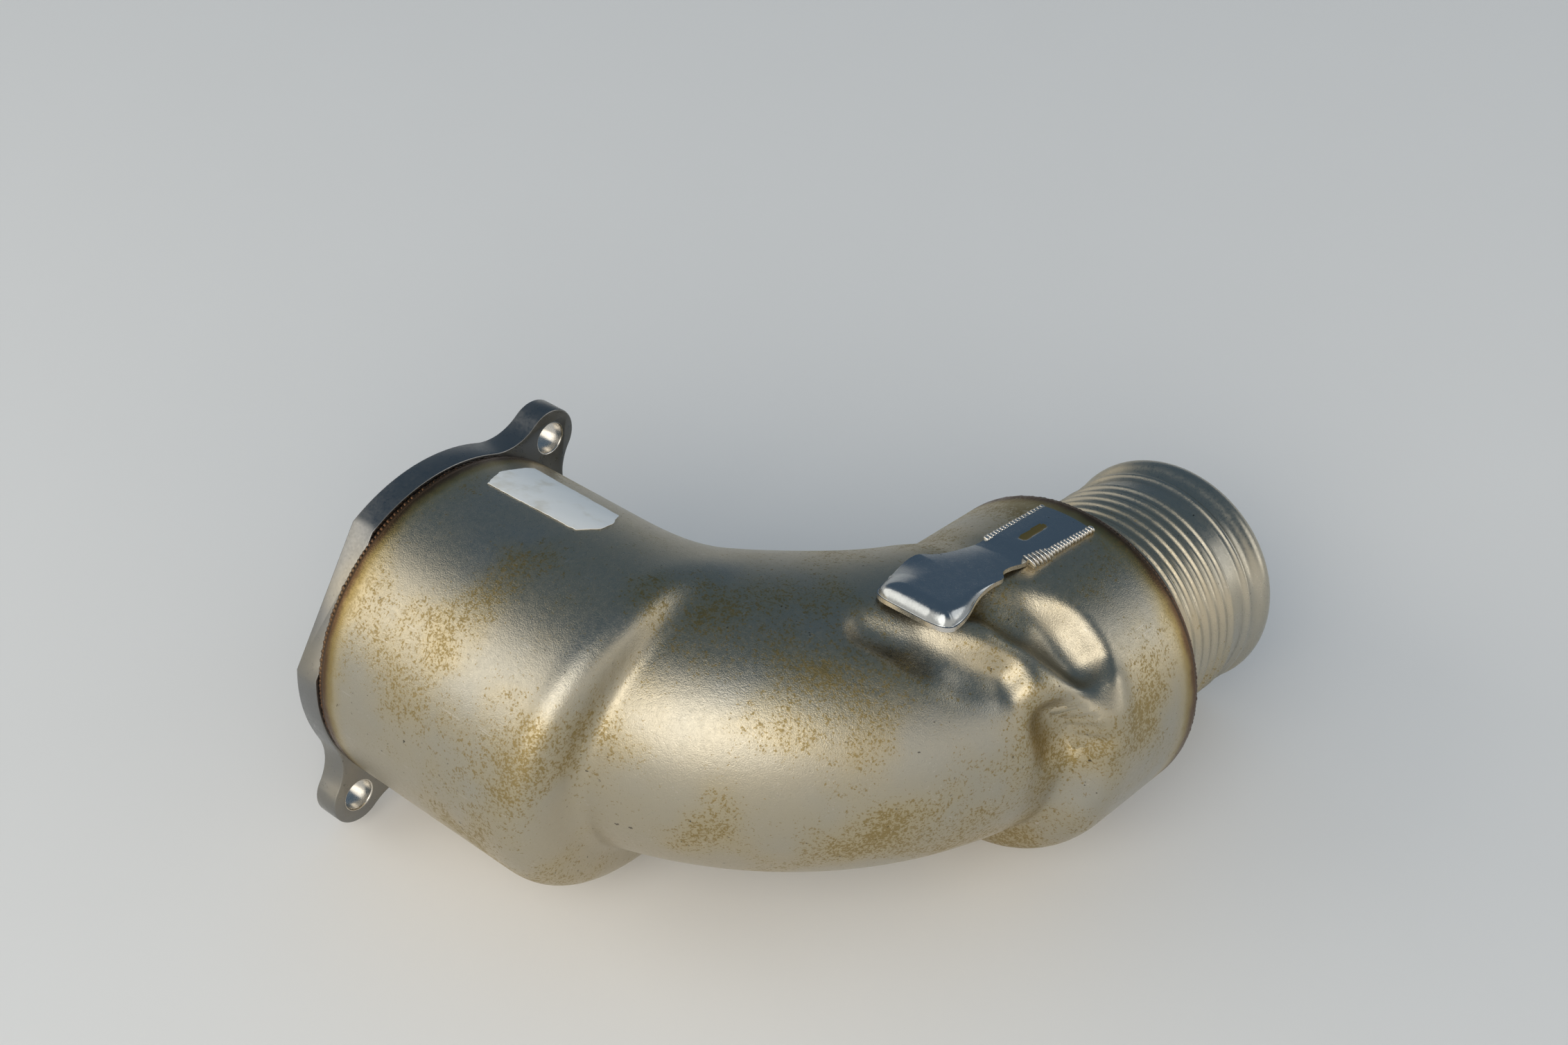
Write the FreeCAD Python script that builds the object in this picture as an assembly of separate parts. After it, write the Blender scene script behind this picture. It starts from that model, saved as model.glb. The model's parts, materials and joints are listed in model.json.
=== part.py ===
import FreeCAD, Part
import os
from math import acos, cos, degrees, exp, hypot, pi, radians, sin, sqrt, tan

from FreeCAD import Vector

# Turbo muffler: an elbow of pressed sheet steel with a resonator chamber at each end.
# The inlet leg runs along +X from the flange face, the outlet leg along +Y.
# The origin is the centre of the flange bore on the flange face. All sizes are in mm.

# Legs of the elbow
crossing_x = 103.5
outlet_rim_y = 86.4
sheet = 1.0
fit_gap = 0.05

# Inlet chamber and its rounded shoulder
inlet_dia = 75.0
inlet_end_x = 65.8
inlet_end_rise = 0.1
inlet_edge_round = 9.0

# Outlet chamber and its rounded shoulder
outlet_dia = 69.5
outlet_end_y = 54.0
outlet_end_lean = 0.03
outlet_end_rise = 0.05
outlet_edge_round = 10.0

# Pipe between the chambers, and the straighter stretch across the inside of its bend
pipe_dia = 62.0
pipe_offset = 3.5
pipe_rise = 3.0
pipe_bend = 62.0
inside_dia = 55.0
inside_offset = 41.0
inside_rise = 3.5
inside_half = 44.0
inside_round = 10.0
pipe_round = 5.0
pipe_overlap = 7.0
pipe_end_round = 8.0
neck_round = 3.0

# Flange plate with two ears
flange_thickness = 6.0
flange_dia = 75.6
flange_flat = 34.0
flange_flat_angle = 151.0
ear_angle = 50.0
bolt_circle = 86.6
bolt_hole_dia = 7.0
ear_tip = 6.7
ear_fillet = 12.0
flange_bore_dia = 50.0
collar_length = 7.0
relief_width = 5.4

# Face seal in the flange
seal_dia = 62.0
seal_section = 3.0
seal_below_face = 0.1
groove_width = 3.6

# Chamber edge and weld at the flange
shell_start = 1.4
flange_weld_inset = 0.3

# Resonator sleeves and the rings that carry them
sleeve_seat = 3.0
sleeve_step = 0.5
sleeve_length = 46.0
divider_gap = 15.0
baffle_gap = 18.0
baffle_lip = 5.0
baffle_bend = 2.0
slot_length = 11.0
slot_width = 2.2
slots_round = 12
outlet_baffle_back = 19.4
outlet_sleeve_back = 24.4
sleeve_overlap = 8.0

# End cap of the outlet chamber
cap_reach = 3.2
cap_depth = 6.0
cap_corner = 1.6
cap_weld = 1.2

# Ribbed spigot
spigot_bore_dia = 48.0
spigot_wall = 1.4
rib_height = 0.9
bead_height = 1.6
spigot_reach = 44.6
spigot_inside = 10.4
rib_start = 11.2
rib_pitch = 3.3
rib_count = 6
rib_share = 0.62
band_length = 3.6
bead_length = 5.2
end_lip = 1.2
spigot_weld_leg = 1.6

# Mounting bracket. Its outline is seen from above: distance from the outlet axis towards +X,
# distance back from the chamber's rim, and corner radius
bracket_sheet = 1.0
bracket_outline = [
    (-5.8, 5.6, 1.0), (-6.6, 22.0, 8.0), (-8.3, 37.0, 1.5), (-11.0, 40.6, 1.5), (-11.7, 45.0, 4.0),
    (-9.6, 55.6, 3.0), (-4.5, 57.2, 6.0), (4.0, 56.2, 8.0), (8.2, 53.0, 3.0), (8.4, 49.5, 3.0),
    (5.9, 44.0, 8.0), (5.2, 39.0, 5.0), (5.8, 33.4, 0.4), (3.9, 34.2, 0.4), (3.4, 29.0, 5.0),
    (4.9, 23.0, 5.0), (6.1, 5.2, 1.0), (1.0, 5.2, 0.5), (0.2, 6.8, 0.5),
]
bracket_lift_start = 27.0
bracket_lift_end = 57.0
bracket_lift = 2.6
lip_turn = 3.6
lip_turn_far = 1.6
lip_turn_width = 5.0
lip_start_back = 33.0
bracket_clearance = 0.12
plug_back = 15.4
plug_across = -1.2
plug_slot_length = 8.5
plug_slot_width = 2.2

# Weld beads along the bracket: distances back from the rim, and the radius at each end
weld_near_across = (5.1, 6.1)
weld_far_across = (-6.6, -5.9)
weld_back = (23.6, 5.4)
near_bead = (1.25, 0.75)
far_bead = (0.8, 0.7)

# Paper label on the inlet chamber
label_thickness = 0.15
label_corners = [(15.8, 89.0), (13.8, 81.0), (14.2, 66.0), (39.4, 67.0),
                 (42.6, 75.0), (43.1, 81.0), (40.3, 88.0)]

# Pressed folds: path of (distance from the outlet axis, from the start of the outlet chamber,
# height), half width, depth (a ridge is negative) and how square the sides are
folds = [
    (((4.0, -8.5, 32.5), (12.5, -2.5, 29.8), (20.0, 3.0, 25.6), (24.6, 5.0, 21.8)), 3.7, 5.4, 3),
    (((24.0, -6.0, 13.5), (26.0, -4.5, 8.0)), 4.6, 4.2, 2.5),
    (((26.0, -5.0, 8.0), (28.0, -6.0, -4.0)), 6.0, 1.6, 2),
    (((-6.5, -30.0, 31.0), (5.0, -25.0, 29.2), (12.0, -20.5, 26.0), (16.0, -15.0, 23.5)), 4.2, 2.8, 2),
    (((20.6, -8.4, 20.0), (23.0, -4.6, 18.2), (26.5, 0.0, 14.0)), 3.0, -2.6, 2),
    (((5.0, -15.0, 31.0), (12.0, -10.5, 28.5), (20.5, -4.0, 23.0)), 3.4, -1.4, 2),
]
fold_reach = 3.0

# Rows and columns of control points of the shell and of the bracket
section_bend = 60.0
stations = 47
around = 32
bracket_columns = 15
bracket_rows = 29
halvings = 22

inlet_r = inlet_dia / 2
outlet_r = outlet_dia / 2
first_x = flange_thickness + shell_start
inlet_sleeve_r = flange_bore_dia / 2 + sleeve_step
divider_x = flange_thickness + collar_length + divider_gap
baffle_x = divider_x + baffle_gap
outlet_baffle_y = outlet_rim_y - outlet_baffle_back
spigot_root_dia = spigot_bore_dia + 2 * spigot_wall
rib_crest_dia = spigot_root_dia + 2 * rib_height
bead_dia = spigot_root_dia + 2 * bead_height
outlet_sleeve_y = outlet_rim_y - outlet_sleeve_back
spigot_inner_y = outlet_rim_y - spigot_inside
spigot_end_y = outlet_rim_y + spigot_reach
X_AXIS = Vector(1, 0, 0)
Y_AXIS = Vector(0, 1, 0)
Z_AXIS = Vector(0, 0, 1)
OUTLET_ORIGIN = Vector(crossing_x, 0, 0)


def blend_min(a, b, k):
    h = max(k - abs(a - b), 0.0) / k
    return min(a, b) - h * h * k / 4


def blend_max(a, b, k):
    return -blend_min(-a, -b, k)


def to_segment(p, a, b):
    """Distance of point p from the straight line between a and b."""
    ab = [b[i] - a[i] for i in range(3)]
    ap = [p[i] - a[i] for i in range(3)]
    share = sum(ap[i] * ab[i] for i in range(3)) / sum(v * v for v in ab)
    share = max(0.0, min(1.0, share))
    return sqrt(sum((ap[i] - share * ab[i]) ** 2 for i in range(3)))


def to_path(p, path, k):
    """Distance of p from a path of straight runs, rounded at its corners."""
    near = to_segment(p, path[0], path[1])
    for a, b in zip(path[1:], path[2:]):
        near = blend_min(near, to_segment(p, a, b), k)
    return max(near, 0.0)


def pipe_distance(x, y, z):
    """Signed distance from the bent pipe, negative inside it."""
    corner_x = crossing_x - pipe_offset
    bend_x = corner_x - pipe_bend
    bend_y = pipe_offset + pipe_bend
    if x <= bend_x:
        side = y - pipe_offset
    elif y >= bend_y:
        side = x - corner_x
    else:
        side = hypot(x - bend_x, y - bend_y) - pipe_bend
    tube = hypot(side, z - pipe_rise) - pipe_dia / 2
    return blend_max(tube, y - outlet_end_y - pipe_overlap, pipe_end_round)


def inside_distance(x, y, z):
    """Signed distance from the straight stretch across the inside of the bend."""
    side = (crossing_x - x + y) / sqrt(2) - inside_offset
    along = (x + y - crossing_x) / sqrt(2)
    tube = hypot(side, z - inside_rise) - inside_dia / 2
    return blend_max(tube, abs(along) - inside_half, inside_round)


def inlet_distance(x, y, z):
    end = inlet_end_x + inlet_end_rise * z
    return blend_max(hypot(y, z) - inlet_r, x - end, inlet_edge_round)


def outlet_distance(x, y, z):
    across = x - crossing_x
    end = outlet_end_y - outlet_end_lean * across + outlet_end_rise * z
    return blend_max(hypot(across, z) - outlet_r, end - y, outlet_edge_round)


def shell_distance(x, y, z):
    """Signed distance from the outer skin of the shell, with its pressed folds."""
    neck = blend_min(pipe_distance(x, y, z), inside_distance(x, y, z), pipe_round)
    value = blend_min(neck, inlet_distance(x, y, z), neck_round)
    value = blend_min(value, outlet_distance(x, y, z), neck_round)
    p = (x - crossing_x, y - outlet_end_y, z)
    for path, width, depth, square in folds:
        near = to_path(p, path, width) / width
        if near < fold_reach:
            value += depth * exp(-near ** square)
    return value


def section(s):
    """Centre of the section at length s of the elbow, and its direction outward from the bend."""
    straight = crossing_x - section_bend
    arc = section_bend * pi / 2
    if s <= straight:
        return Vector(s, 0, 0), Vector(0, -1, 0)
    if s <= straight + arc:
        turn = (s - straight) / section_bend
        centre = Vector(straight + section_bend * sin(turn), section_bend * (1 - cos(turn)), 0)
        return centre, Vector(sin(turn), -cos(turn), 0)
    return Vector(crossing_x, section_bend + s - straight - arc, 0), Vector(1, 0, 0)


def skin_point(s, angle, inset):
    """Point of the skin in the section at s, at an angle from the outward side towards +Z."""
    centre, outward = section(s)
    ray = outward * cos(angle) + Z_AXIS * sin(angle)
    near, far = neck_round, inlet_dia
    for _ in range(halvings):
        reach = (near + far) / 2
        p = centre + ray * reach
        if shell_distance(p.x, p.y, p.z) < -inset:
            near = reach
        else:
            far = reach
    return centre + ray * reach


def sharpen(rows, closed):
    """Move each control point out by the share that the spline would draw it in."""
    last = len(rows) - 1
    result = []
    for i, p in enumerate(rows):
        if not closed and i in (0, 1, last - 1, last):
            result.append(p)
            continue
        before = rows[i - 1]
        after = rows[(i + 1) % len(rows)]
        result.append(p + (p * 2 - before - after) * (1 / 6))
    return result


def skin_face(inset):
    """Spline face of the skin, moved in by inset."""
    straight = crossing_x - section_bend
    total = straight + section_bend * pi / 2 + outlet_rim_y - section_bend
    step = (total - first_x) / (stations - 1)
    grid = []
    for i in range(stations):
        row = [skin_point(first_x + step * i, 2 * pi * j / around, inset) for j in range(around)]
        grid.append(sharpen(row, True))
    columns = [sharpen([row[j] for row in grid], False) for j in range(around)]
    poles = [[column[i] for column in columns] for i in range(stations)]
    spans = stations - 3
    surface = Part.BSplineSurface()
    surface.buildFromPolesMultsKnots(
        poles, [4] + [1] * (spans - 1) + [4], [1] * (around + 1),
        list(range(spans + 1)), list(range(around + 1)), False, True, 3, 3)
    return surface.toShape()


def end_wires(face):
    """The two closed end edges of a skin face, as wires, inlet end first."""
    rings = [e for e in face.Edges if e.isClosed()]
    rings.sort(key=lambda e: e.CenterOfMass.x + e.CenterOfMass.y)
    return [Part.Wire([e]) for e in rings]


def make_outer_shell():
    outer = skin_face(0.0)
    inner = skin_face(sheet)
    outer_ends = end_wires(outer)
    inner_ends = end_wires(inner)
    rings = [Part.makeFace([o, i], "Part::FaceMakerBullseye")
             for o, i in zip(outer_ends, inner_ends)]
    shell = Part.makeShell([outer, inner] + rings)
    shell.sewShape()
    solid = Part.makeSolid(shell)
    if solid.Volume < 0:
        solid.reverse()
    return solid


def revolve_x(points):
    """Full turn about the X axis of an outline given as (x, radius) points."""
    wire = Part.makePolygon([Vector(x, r, 0) for x, r in points + points[:1]])
    return Part.Face(wire).revolve(Vector(), X_AXIS, 360)


def revolve_y(points):
    """Full turn about the outlet axis of an outline given as (y, radius) points."""
    wire = Part.makePolygon([OUTLET_ORIGIN + Vector(r, y, 0) for y, r in points + points[:1]])
    return Part.Face(wire).revolve(OUTLET_ORIGIN, Y_AXIS, 360)


def plane_point(radius, angle, x=0.0):
    """Point in the flange plane, the angle counted in degrees from +Y towards +Z."""
    return Vector(x, radius * cos(radians(angle)), radius * sin(radians(angle)))


def tube_x(outer, inner, start, length):
    body = Part.makeCylinder(outer, length, Vector(start, 0, 0), X_AXIS)
    return body.cut(Part.makeCylinder(inner, length, Vector(start, 0, 0), X_AXIS))


def tube_y(outer, inner, start, length):
    base = OUTLET_ORIGIN + Vector(0, start, 0)
    body = Part.makeCylinder(outer, length, base, Y_AXIS)
    return body.cut(Part.makeCylinder(inner, length, base, Y_AXIS))


def ear_outline(angle):
    """Outline of one ear with its hollow fillets, closed through the flange centre."""
    rim = flange_dia / 2
    reach = bolt_circle / 2
    side = ((rim + ear_fillet) ** 2 + reach ** 2 - (ear_tip + ear_fillet) ** 2)
    spread = degrees(acos(side / (2 * reach * (rim + ear_fillet))))
    tip = plane_point(reach, angle)
    hollows = [plane_point(rim + ear_fillet, angle + s * spread) for s in (-1, 1)]
    feet = [plane_point(rim, angle + s * spread) for s in (-1, 1)]
    joins = [tip + (h - tip).normalize() * ear_tip for h in hollows]
    middles = []
    for hollow, foot, join in zip(hollows, feet, joins):
        inward = ((foot + join) * 0.5 - hollow).normalize()
        middles.append(hollow + inward * ear_fillet)
    top = plane_point(reach + ear_tip, angle)
    edges = [
        Part.Arc(feet[0], middles[0], joins[0]).toShape(),
        Part.Arc(joins[0], top, joins[1]).toShape(),
        Part.Arc(joins[1], middles[1], feet[1]).toShape(),
        Part.LineSegment(feet[1], Vector()).toShape(),
        Part.LineSegment(Vector(), feet[0]).toShape(),
    ]
    return Part.Wire(edges)


def make_flange():
    plate = Part.makeCylinder(flange_dia / 2, flange_thickness, Vector(), X_AXIS)
    flat_box = Part.makeBox(flange_thickness, flange_dia, flange_dia,
                            Vector(0, flange_flat, -flange_dia / 2))
    flat_box.rotate(Vector(), X_AXIS, flange_flat_angle)
    plate = plate.cut(flat_box)
    for angle in (ear_angle, ear_angle + 180):
        ear = Part.Face(ear_outline(angle)).extrude(Vector(flange_thickness, 0, 0))
        plate = plate.fuse(ear)
    plate = plate.removeSplitter()
    collar_r = inlet_r - sheet - fit_gap
    collar = Part.makeCylinder(collar_r, collar_length, Vector(flange_thickness, 0, 0), X_AXIS)
    body = plate.fuse(collar)
    depth = flange_thickness + collar_length
    body = body.cut(Part.makeCylinder(flange_bore_dia / 2, depth, Vector(), X_AXIS))
    seat_r = inlet_sleeve_r + sheet + fit_gap
    seat = Part.makeCylinder(seat_r, sleeve_seat, Vector(depth - sleeve_seat, 0, 0), X_AXIS)
    body = body.cut(seat)
    relief_r = (collar_r + seat_r + relief_width) / 2
    relief = tube_x(relief_r, relief_r - relief_width, flange_thickness, collar_length)
    body = body.cut(relief)
    groove = tube_x(seal_dia / 2 + groove_width / 2, seal_dia / 2 - groove_width / 2,
                    0, seal_below_face + seal_section)
    body = body.cut(groove)
    for angle in (ear_angle, ear_angle + 180):
        hole_at = plane_point(bolt_circle / 2, angle)
        body = body.cut(Part.makeCylinder(bolt_hole_dia / 2, flange_thickness, hole_at, X_AXIS))
    return body


def make_seal():
    ring = Part.makeTorus(seal_dia / 2, seal_section / 2, Vector(), X_AXIS)
    ring.translate(Vector(seal_below_face + seal_section / 2, 0, 0))
    return ring


def make_flange_weld():
    low = inlet_r - sheet
    high = inlet_r - flange_weld_inset
    middle = flange_thickness + shell_start / 2
    return revolve_x([(flange_thickness, low), (flange_thickness, high),
                      (middle, high - flange_weld_inset), (first_x, high), (first_x, low)])


def slot_cutter(length, width, reach):
    """A round-ended slot along X that stands out along +Z from the axis."""
    half = (length - width) / 2
    bar = Part.makeBox(2 * half, width, reach, Vector(-half, -width / 2, 0))
    for end in (-half, half):
        bar = bar.fuse(Part.makeCylinder(width / 2, reach, Vector(end, 0, 0), Z_AXIS))
    return bar


def make_inlet_sleeve():
    start = flange_thickness + collar_length - sleeve_seat
    inner = inlet_sleeve_r
    sleeve = tube_x(inner + sheet, inner, start, sleeve_length)
    rows = [(flange_thickness + collar_length + divider_x) / 2, (divider_x + baffle_x) / 2]
    for row, x in enumerate(rows):
        for i in range(slots_round):
            cutter = slot_cutter(slot_length, slot_width, inner + 2 * sheet)
            cutter.translate(Vector(x, 0, 0))
            cutter.rotate(Vector(), X_AXIS, (i + row / 2) * 360 / slots_round)
            sleeve = sleeve.cut(cutter)
    return sleeve


def pressed_ring(outer, hole, place, revolve):
    """Dished sheet ring with a turned rim against the chamber and a turned collar on the sleeve."""
    bend = baffle_bend
    face = place
    back = place + sheet
    lip = place + baffle_lip
    outline = [(face, outer - bend), (face, hole + bend), (face + bend / 2, hole), (lip, hole),
               (lip, hole + sheet), (back + bend / 2, hole + sheet), (back, hole + sheet + bend / 2),
               (back, outer - sheet - bend / 2), (back + bend / 2, outer - sheet),
               (lip, outer - sheet), (lip, outer), (face + bend, outer)]
    return revolve(outline)


def make_end_cap():
    outer = outlet_r - sheet - fit_gap
    hole = spigot_root_dia / 2 + fit_gap
    inner = outlet_rim_y - cap_depth
    end = outlet_rim_y + cap_reach
    return revolve_y([(inner, outer), (inner, outer - sheet), (end - sheet - cap_corner, outer - sheet),
                      (end - sheet, outer - sheet - cap_corner), (end - sheet, hole), (end, hole),
                      (end, outer - cap_corner), (end - cap_corner / 2, outer - cap_corner / 3),
                      (end - cap_corner, outer)])


def make_end_cap_weld():
    low = outlet_r - sheet
    return revolve_y([(outlet_rim_y, low), (outlet_rim_y, outlet_r),
                      (outlet_rim_y + cap_weld / 2, outlet_r - sheet / 4),
                      (outlet_rim_y + cap_weld, low)])


def make_spigot():
    """Outline up the ribbed outside, over the end bead and back down the bore."""
    root = spigot_root_dia / 2
    crest = rib_crest_dia / 2
    bore = spigot_bore_dia / 2
    rib = rib_pitch * rib_share
    outline = [(spigot_inner_y, root)]
    for i in range(rib_count + 1):
        start = outlet_rim_y + rib_start + i * rib_pitch + (band_length if i == rib_count else 0)
        outline += [(start, root), (start + rib / 4, crest), (start + rib * 3 / 4, crest),
                    (start + rib, root)]
    bead_start = spigot_end_y - bead_length
    bead = bead_dia / 2
    outline += [(bead_start, root), (bead_start + bead_length / 5, bead - sheet / 4),
                (bead_start + bead_length * 2 / 5, bead), (spigot_end_y - end_lip, bead),
                (spigot_end_y - end_lip / 3, bead - end_lip / 3), (spigot_end_y, bead - end_lip),
                (spigot_end_y, bore + end_lip / 2), (spigot_end_y - end_lip / 2, bore),
                (spigot_inner_y, bore)]
    return revolve_y(outline)


def make_spigot_weld():
    face = outlet_rim_y + cap_reach
    low = spigot_root_dia / 2 + fit_gap
    return revolve_y([(face, low), (face, low + spigot_weld_leg),
                      (face + spigot_weld_leg / 3, low + spigot_weld_leg / 2),
                      (face + spigot_weld_leg, low)])


def make_outlet_sleeve():
    inner = spigot_root_dia / 2 + fit_gap
    end = spigot_inner_y + sleeve_overlap
    sleeve = tube_y(inner + sheet, inner, outlet_sleeve_y, end - outlet_sleeve_y)
    y = (outlet_baffle_y + baffle_lip + spigot_inner_y) / 2
    for i in range(slots_round):
        cutter = slot_cutter(slot_length * 2 / 3, slot_width, inner + 2 * sheet)
        cutter.rotate(Vector(), Z_AXIS, 90)
        cutter.rotate(Vector(), Y_AXIS, i * 360 / slots_round)
        cutter.translate(OUTLET_ORIGIN + Vector(0, y, 0))
        sleeve = sleeve.cut(cutter)
    return sleeve


def rounded_wire(corners):
    """Closed outline of straight runs joined by tangent arcs, from (x, y, corner radius)."""
    edges = []
    joins = []
    count = len(corners)
    for i, (x, y, r) in enumerate(corners):
        p = Vector(x, y, 0)
        before = (Vector(*corners[i - 1][:2], 0) - p).normalize()
        after = (Vector(*corners[(i + 1) % count][:2], 0) - p).normalize()
        half = before.getAngle(after) / 2
        cut = r / tan(half)
        centre = p + (before + after).normalize() * (r / sin(half))
        arc = (p + before * cut, centre + (p - centre).normalize() * r, p + after * cut)
        edges.append(Part.Arc(*arc).toShape())
        joins.append((arc[0], arc[2]))
    for i in range(count):
        edges.append(Part.LineSegment(joins[i - 1][1], joins[i][0]).toShape())
    return Part.Wire(Part.__sortEdges__(edges))


def bracket_point(across, back, z=0.0):
    """Point on the outlet leg, from the distance off its axis and back from the rim."""
    return Vector(crossing_x + across, outlet_rim_y - back, z)


def skin_height(x, y):
    """Height of the top of the shell's skin above the middle plane."""
    low, high = 0.0, inlet_dia
    for _ in range(halvings):
        z = (low + high) / 2
        if shell_distance(x, y, z) < 0:
            low = z
        else:
            high = z
    return z


def bracket_height(across, back):
    """Height of the bracket's underside: on the chamber, then lifted, flat and turned down."""
    share = (back - bracket_lift_start) / (bracket_lift_end - bracket_lift_start)
    share = max(0.0, min(1.0, share))
    flat = min(1.0, 2 * share)
    curved = sqrt((outlet_r + fit_gap) ** 2 - across ** 2)
    height = curved * (1 - flat) + (outlet_r + fit_gap) * flat + bracket_lift * share
    fade = max(0.0, min(1.0, (back - lip_start_back) / lip_turn_width))
    edges = [(front_back - back, lip_turn), (near_across - across, lip_turn),
             (across - far_across, lip_turn_far)]
    turns = [turn * fade * max(0.0, 1 - gap / lip_turn_width) ** 2 for gap, turn in edges]
    p = bracket_point(across, back)
    return max(height - max(turns), skin_height(p.x, p.y) + bracket_clearance * flat + fit_gap * (1 - flat))


def make_bracket():
    low_across, high_across = far_across - bracket_sheet, near_across + bracket_sheet
    low_back, high_back = rim_back - bracket_sheet, front_back + bracket_sheet
    grid = []
    for i in range(bracket_columns):
        across = low_across + (high_across - low_across) * i / (bracket_columns - 1)
        row = []
        for j in range(bracket_rows):
            back = high_back + (low_back - high_back) * j / (bracket_rows - 1)
            row.append(bracket_point(across, back, bracket_height(across, back)))
        grid.append(row)
    surface = Part.BSplineSurface()
    surface.interpolate(grid)
    blank = surface.toShape().extrude(Vector(0, 0, bracket_sheet))
    corners = []
    for across, back, r in bracket_outline:
        p = bracket_point(across, back)
        corners.append((p.x, p.y, r))
    bracket = blank.common(Part.Face(rounded_wire(corners)).extrude(Vector(0, 0, outlet_dia)))
    return bracket.cut(plug_slot(outlet_dia))


def plug_slot(height):
    cutter = slot_cutter(plug_slot_length, plug_slot_width, height)
    cutter.rotate(Vector(), Z_AXIS, 90)
    cutter.translate(bracket_point(plug_across, plug_back))
    return cutter


def make_plug_weld():
    fill = plug_slot(outlet_r + bracket_sheet)
    low = outlet_r + fit_gap
    skin = tube_y(low + bracket_sheet * 2 / 3, low, outlet_rim_y - plug_back - plug_slot_length,
                  2 * plug_slot_length)
    return fill.common(skin)


def make_edge_weld(across, side, radii):
    """Bead along one edge of the bracket, in the corner between it and the chamber."""
    ends = []
    for offset, back in zip(across, weld_back):
        ends.append(bracket_point(offset, back, sqrt(outlet_r ** 2 - offset ** 2)))
    run = ends[1] - ends[0]
    bead = Part.makeCone(radii[0], radii[1], run.Length, ends[0], run)
    wide = 2 * radii[0]
    beside = [ends[0], ends[1], ends[1] + X_AXIS * (side * wide), ends[0] + X_AXIS * (side * wide)]
    for p in beside:
        p.z = 0.0
    keep = Part.Face(Part.makePolygon(beside + beside[:1])).extrude(Vector(0, 0, outlet_dia))
    inside = Part.makeCylinder(outlet_r + fit_gap, outlet_rim_y, OUTLET_ORIGIN, Y_AXIS)
    return bead.common(keep).cut(inside).cut(outer_shell).cut(bracket)


def make_label():
    middle = (max(a for _, a in label_corners) + min(a for _, a in label_corners)) / 2
    outward = plane_point(1, middle)
    side = outward.cross(X_AXIS)
    base = []
    for x, angle in label_corners:
        base.append(Vector(x, 0, 0) + side * (inlet_r * sin(radians(middle - angle))))
    prism = Part.Face(Part.makePolygon(base + base[:1])).extrude(outward * (2 * inlet_r))
    low = inlet_r + fit_gap
    return prism.common(tube_x(low + label_thickness, low, 0, inlet_end_x)).cut(outer_shell)


far_across = min(across for across, _, _ in bracket_outline)
near_across = max(across for across, _, _ in bracket_outline)
rim_back = min(back for _, back, _ in bracket_outline)
front_back = max(back for _, back, _ in bracket_outline)
inlet_ring_r = inlet_r - sheet - fit_gap
inlet_hole_r = inlet_sleeve_r + sheet + fit_gap
outlet_ring_r = outlet_r - sheet - fit_gap
outlet_hole_r = spigot_root_dia / 2 + sheet + 2 * fit_gap

outer_shell = make_outer_shell()
bracket = make_bracket()

parts = {
    "inlet_flange": make_flange(),
    "flange_seal": make_seal(),
    "flange_weld": make_flange_weld(),
    "outer_shell": outer_shell,
    "inlet_sleeve": make_inlet_sleeve(),
    "inlet_divider": pressed_ring(inlet_ring_r, inlet_hole_r, divider_x, revolve_x),
    "inlet_baffle": pressed_ring(inlet_ring_r, inlet_hole_r, baffle_x, revolve_x),
    "outlet_baffle": pressed_ring(outlet_ring_r, outlet_hole_r, outlet_baffle_y, revolve_y),
    "outlet_sleeve": make_outlet_sleeve(),
    "end_cap": make_end_cap(),
    "end_cap_weld": make_end_cap_weld(),
    "outlet_spigot": make_spigot(),
    "spigot_weld": make_spigot_weld(),
    "mounting_bracket": bracket,
    "bracket_plug_weld": make_plug_weld(),
    "bracket_weld_near": make_edge_weld(weld_near_across, 1, near_bead),
    "bracket_weld_far": make_edge_weld(weld_far_across, -1, far_bead),
    "paper_label": make_label(),
}

os.makedirs("parts", exist_ok=True)
for name, shape in parts.items():
    shape.exportStep("parts/" + name + ".step")
    print(name, len(shape.Solids), shape.isValid(), round(shape.Volume, 1))
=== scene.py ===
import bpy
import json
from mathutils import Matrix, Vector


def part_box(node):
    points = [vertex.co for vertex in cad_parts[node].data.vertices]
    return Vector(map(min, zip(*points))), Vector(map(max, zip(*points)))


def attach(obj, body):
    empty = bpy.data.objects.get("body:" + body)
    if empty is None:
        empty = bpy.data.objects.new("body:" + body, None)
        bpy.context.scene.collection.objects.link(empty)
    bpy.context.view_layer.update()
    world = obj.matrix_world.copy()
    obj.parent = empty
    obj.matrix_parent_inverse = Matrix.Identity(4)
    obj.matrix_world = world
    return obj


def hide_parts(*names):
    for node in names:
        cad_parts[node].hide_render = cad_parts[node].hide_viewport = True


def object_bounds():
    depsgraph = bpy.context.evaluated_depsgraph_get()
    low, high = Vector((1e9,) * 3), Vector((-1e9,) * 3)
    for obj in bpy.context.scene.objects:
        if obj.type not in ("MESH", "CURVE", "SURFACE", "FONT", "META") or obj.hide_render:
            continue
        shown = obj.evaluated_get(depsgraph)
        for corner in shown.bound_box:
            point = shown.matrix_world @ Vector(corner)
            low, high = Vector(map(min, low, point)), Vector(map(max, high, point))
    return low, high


bl_info = {
    "name": "Turbo muffler",
    "version": (1, 0, 0),
    "blender": (4, 5, 0),
    "location": "3D View > Sidebar > Muffler",
    "description": "Builds the looks of a sheet-steel turbo muffler round its packed model",
    "category": "Object",
}

import json
import math

import bmesh
import bpy
import numpy as np
from bpy.props import FloatProperty, FloatVectorProperty, IntProperty, PointerProperty
from mathutils import Matrix, Vector

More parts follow.
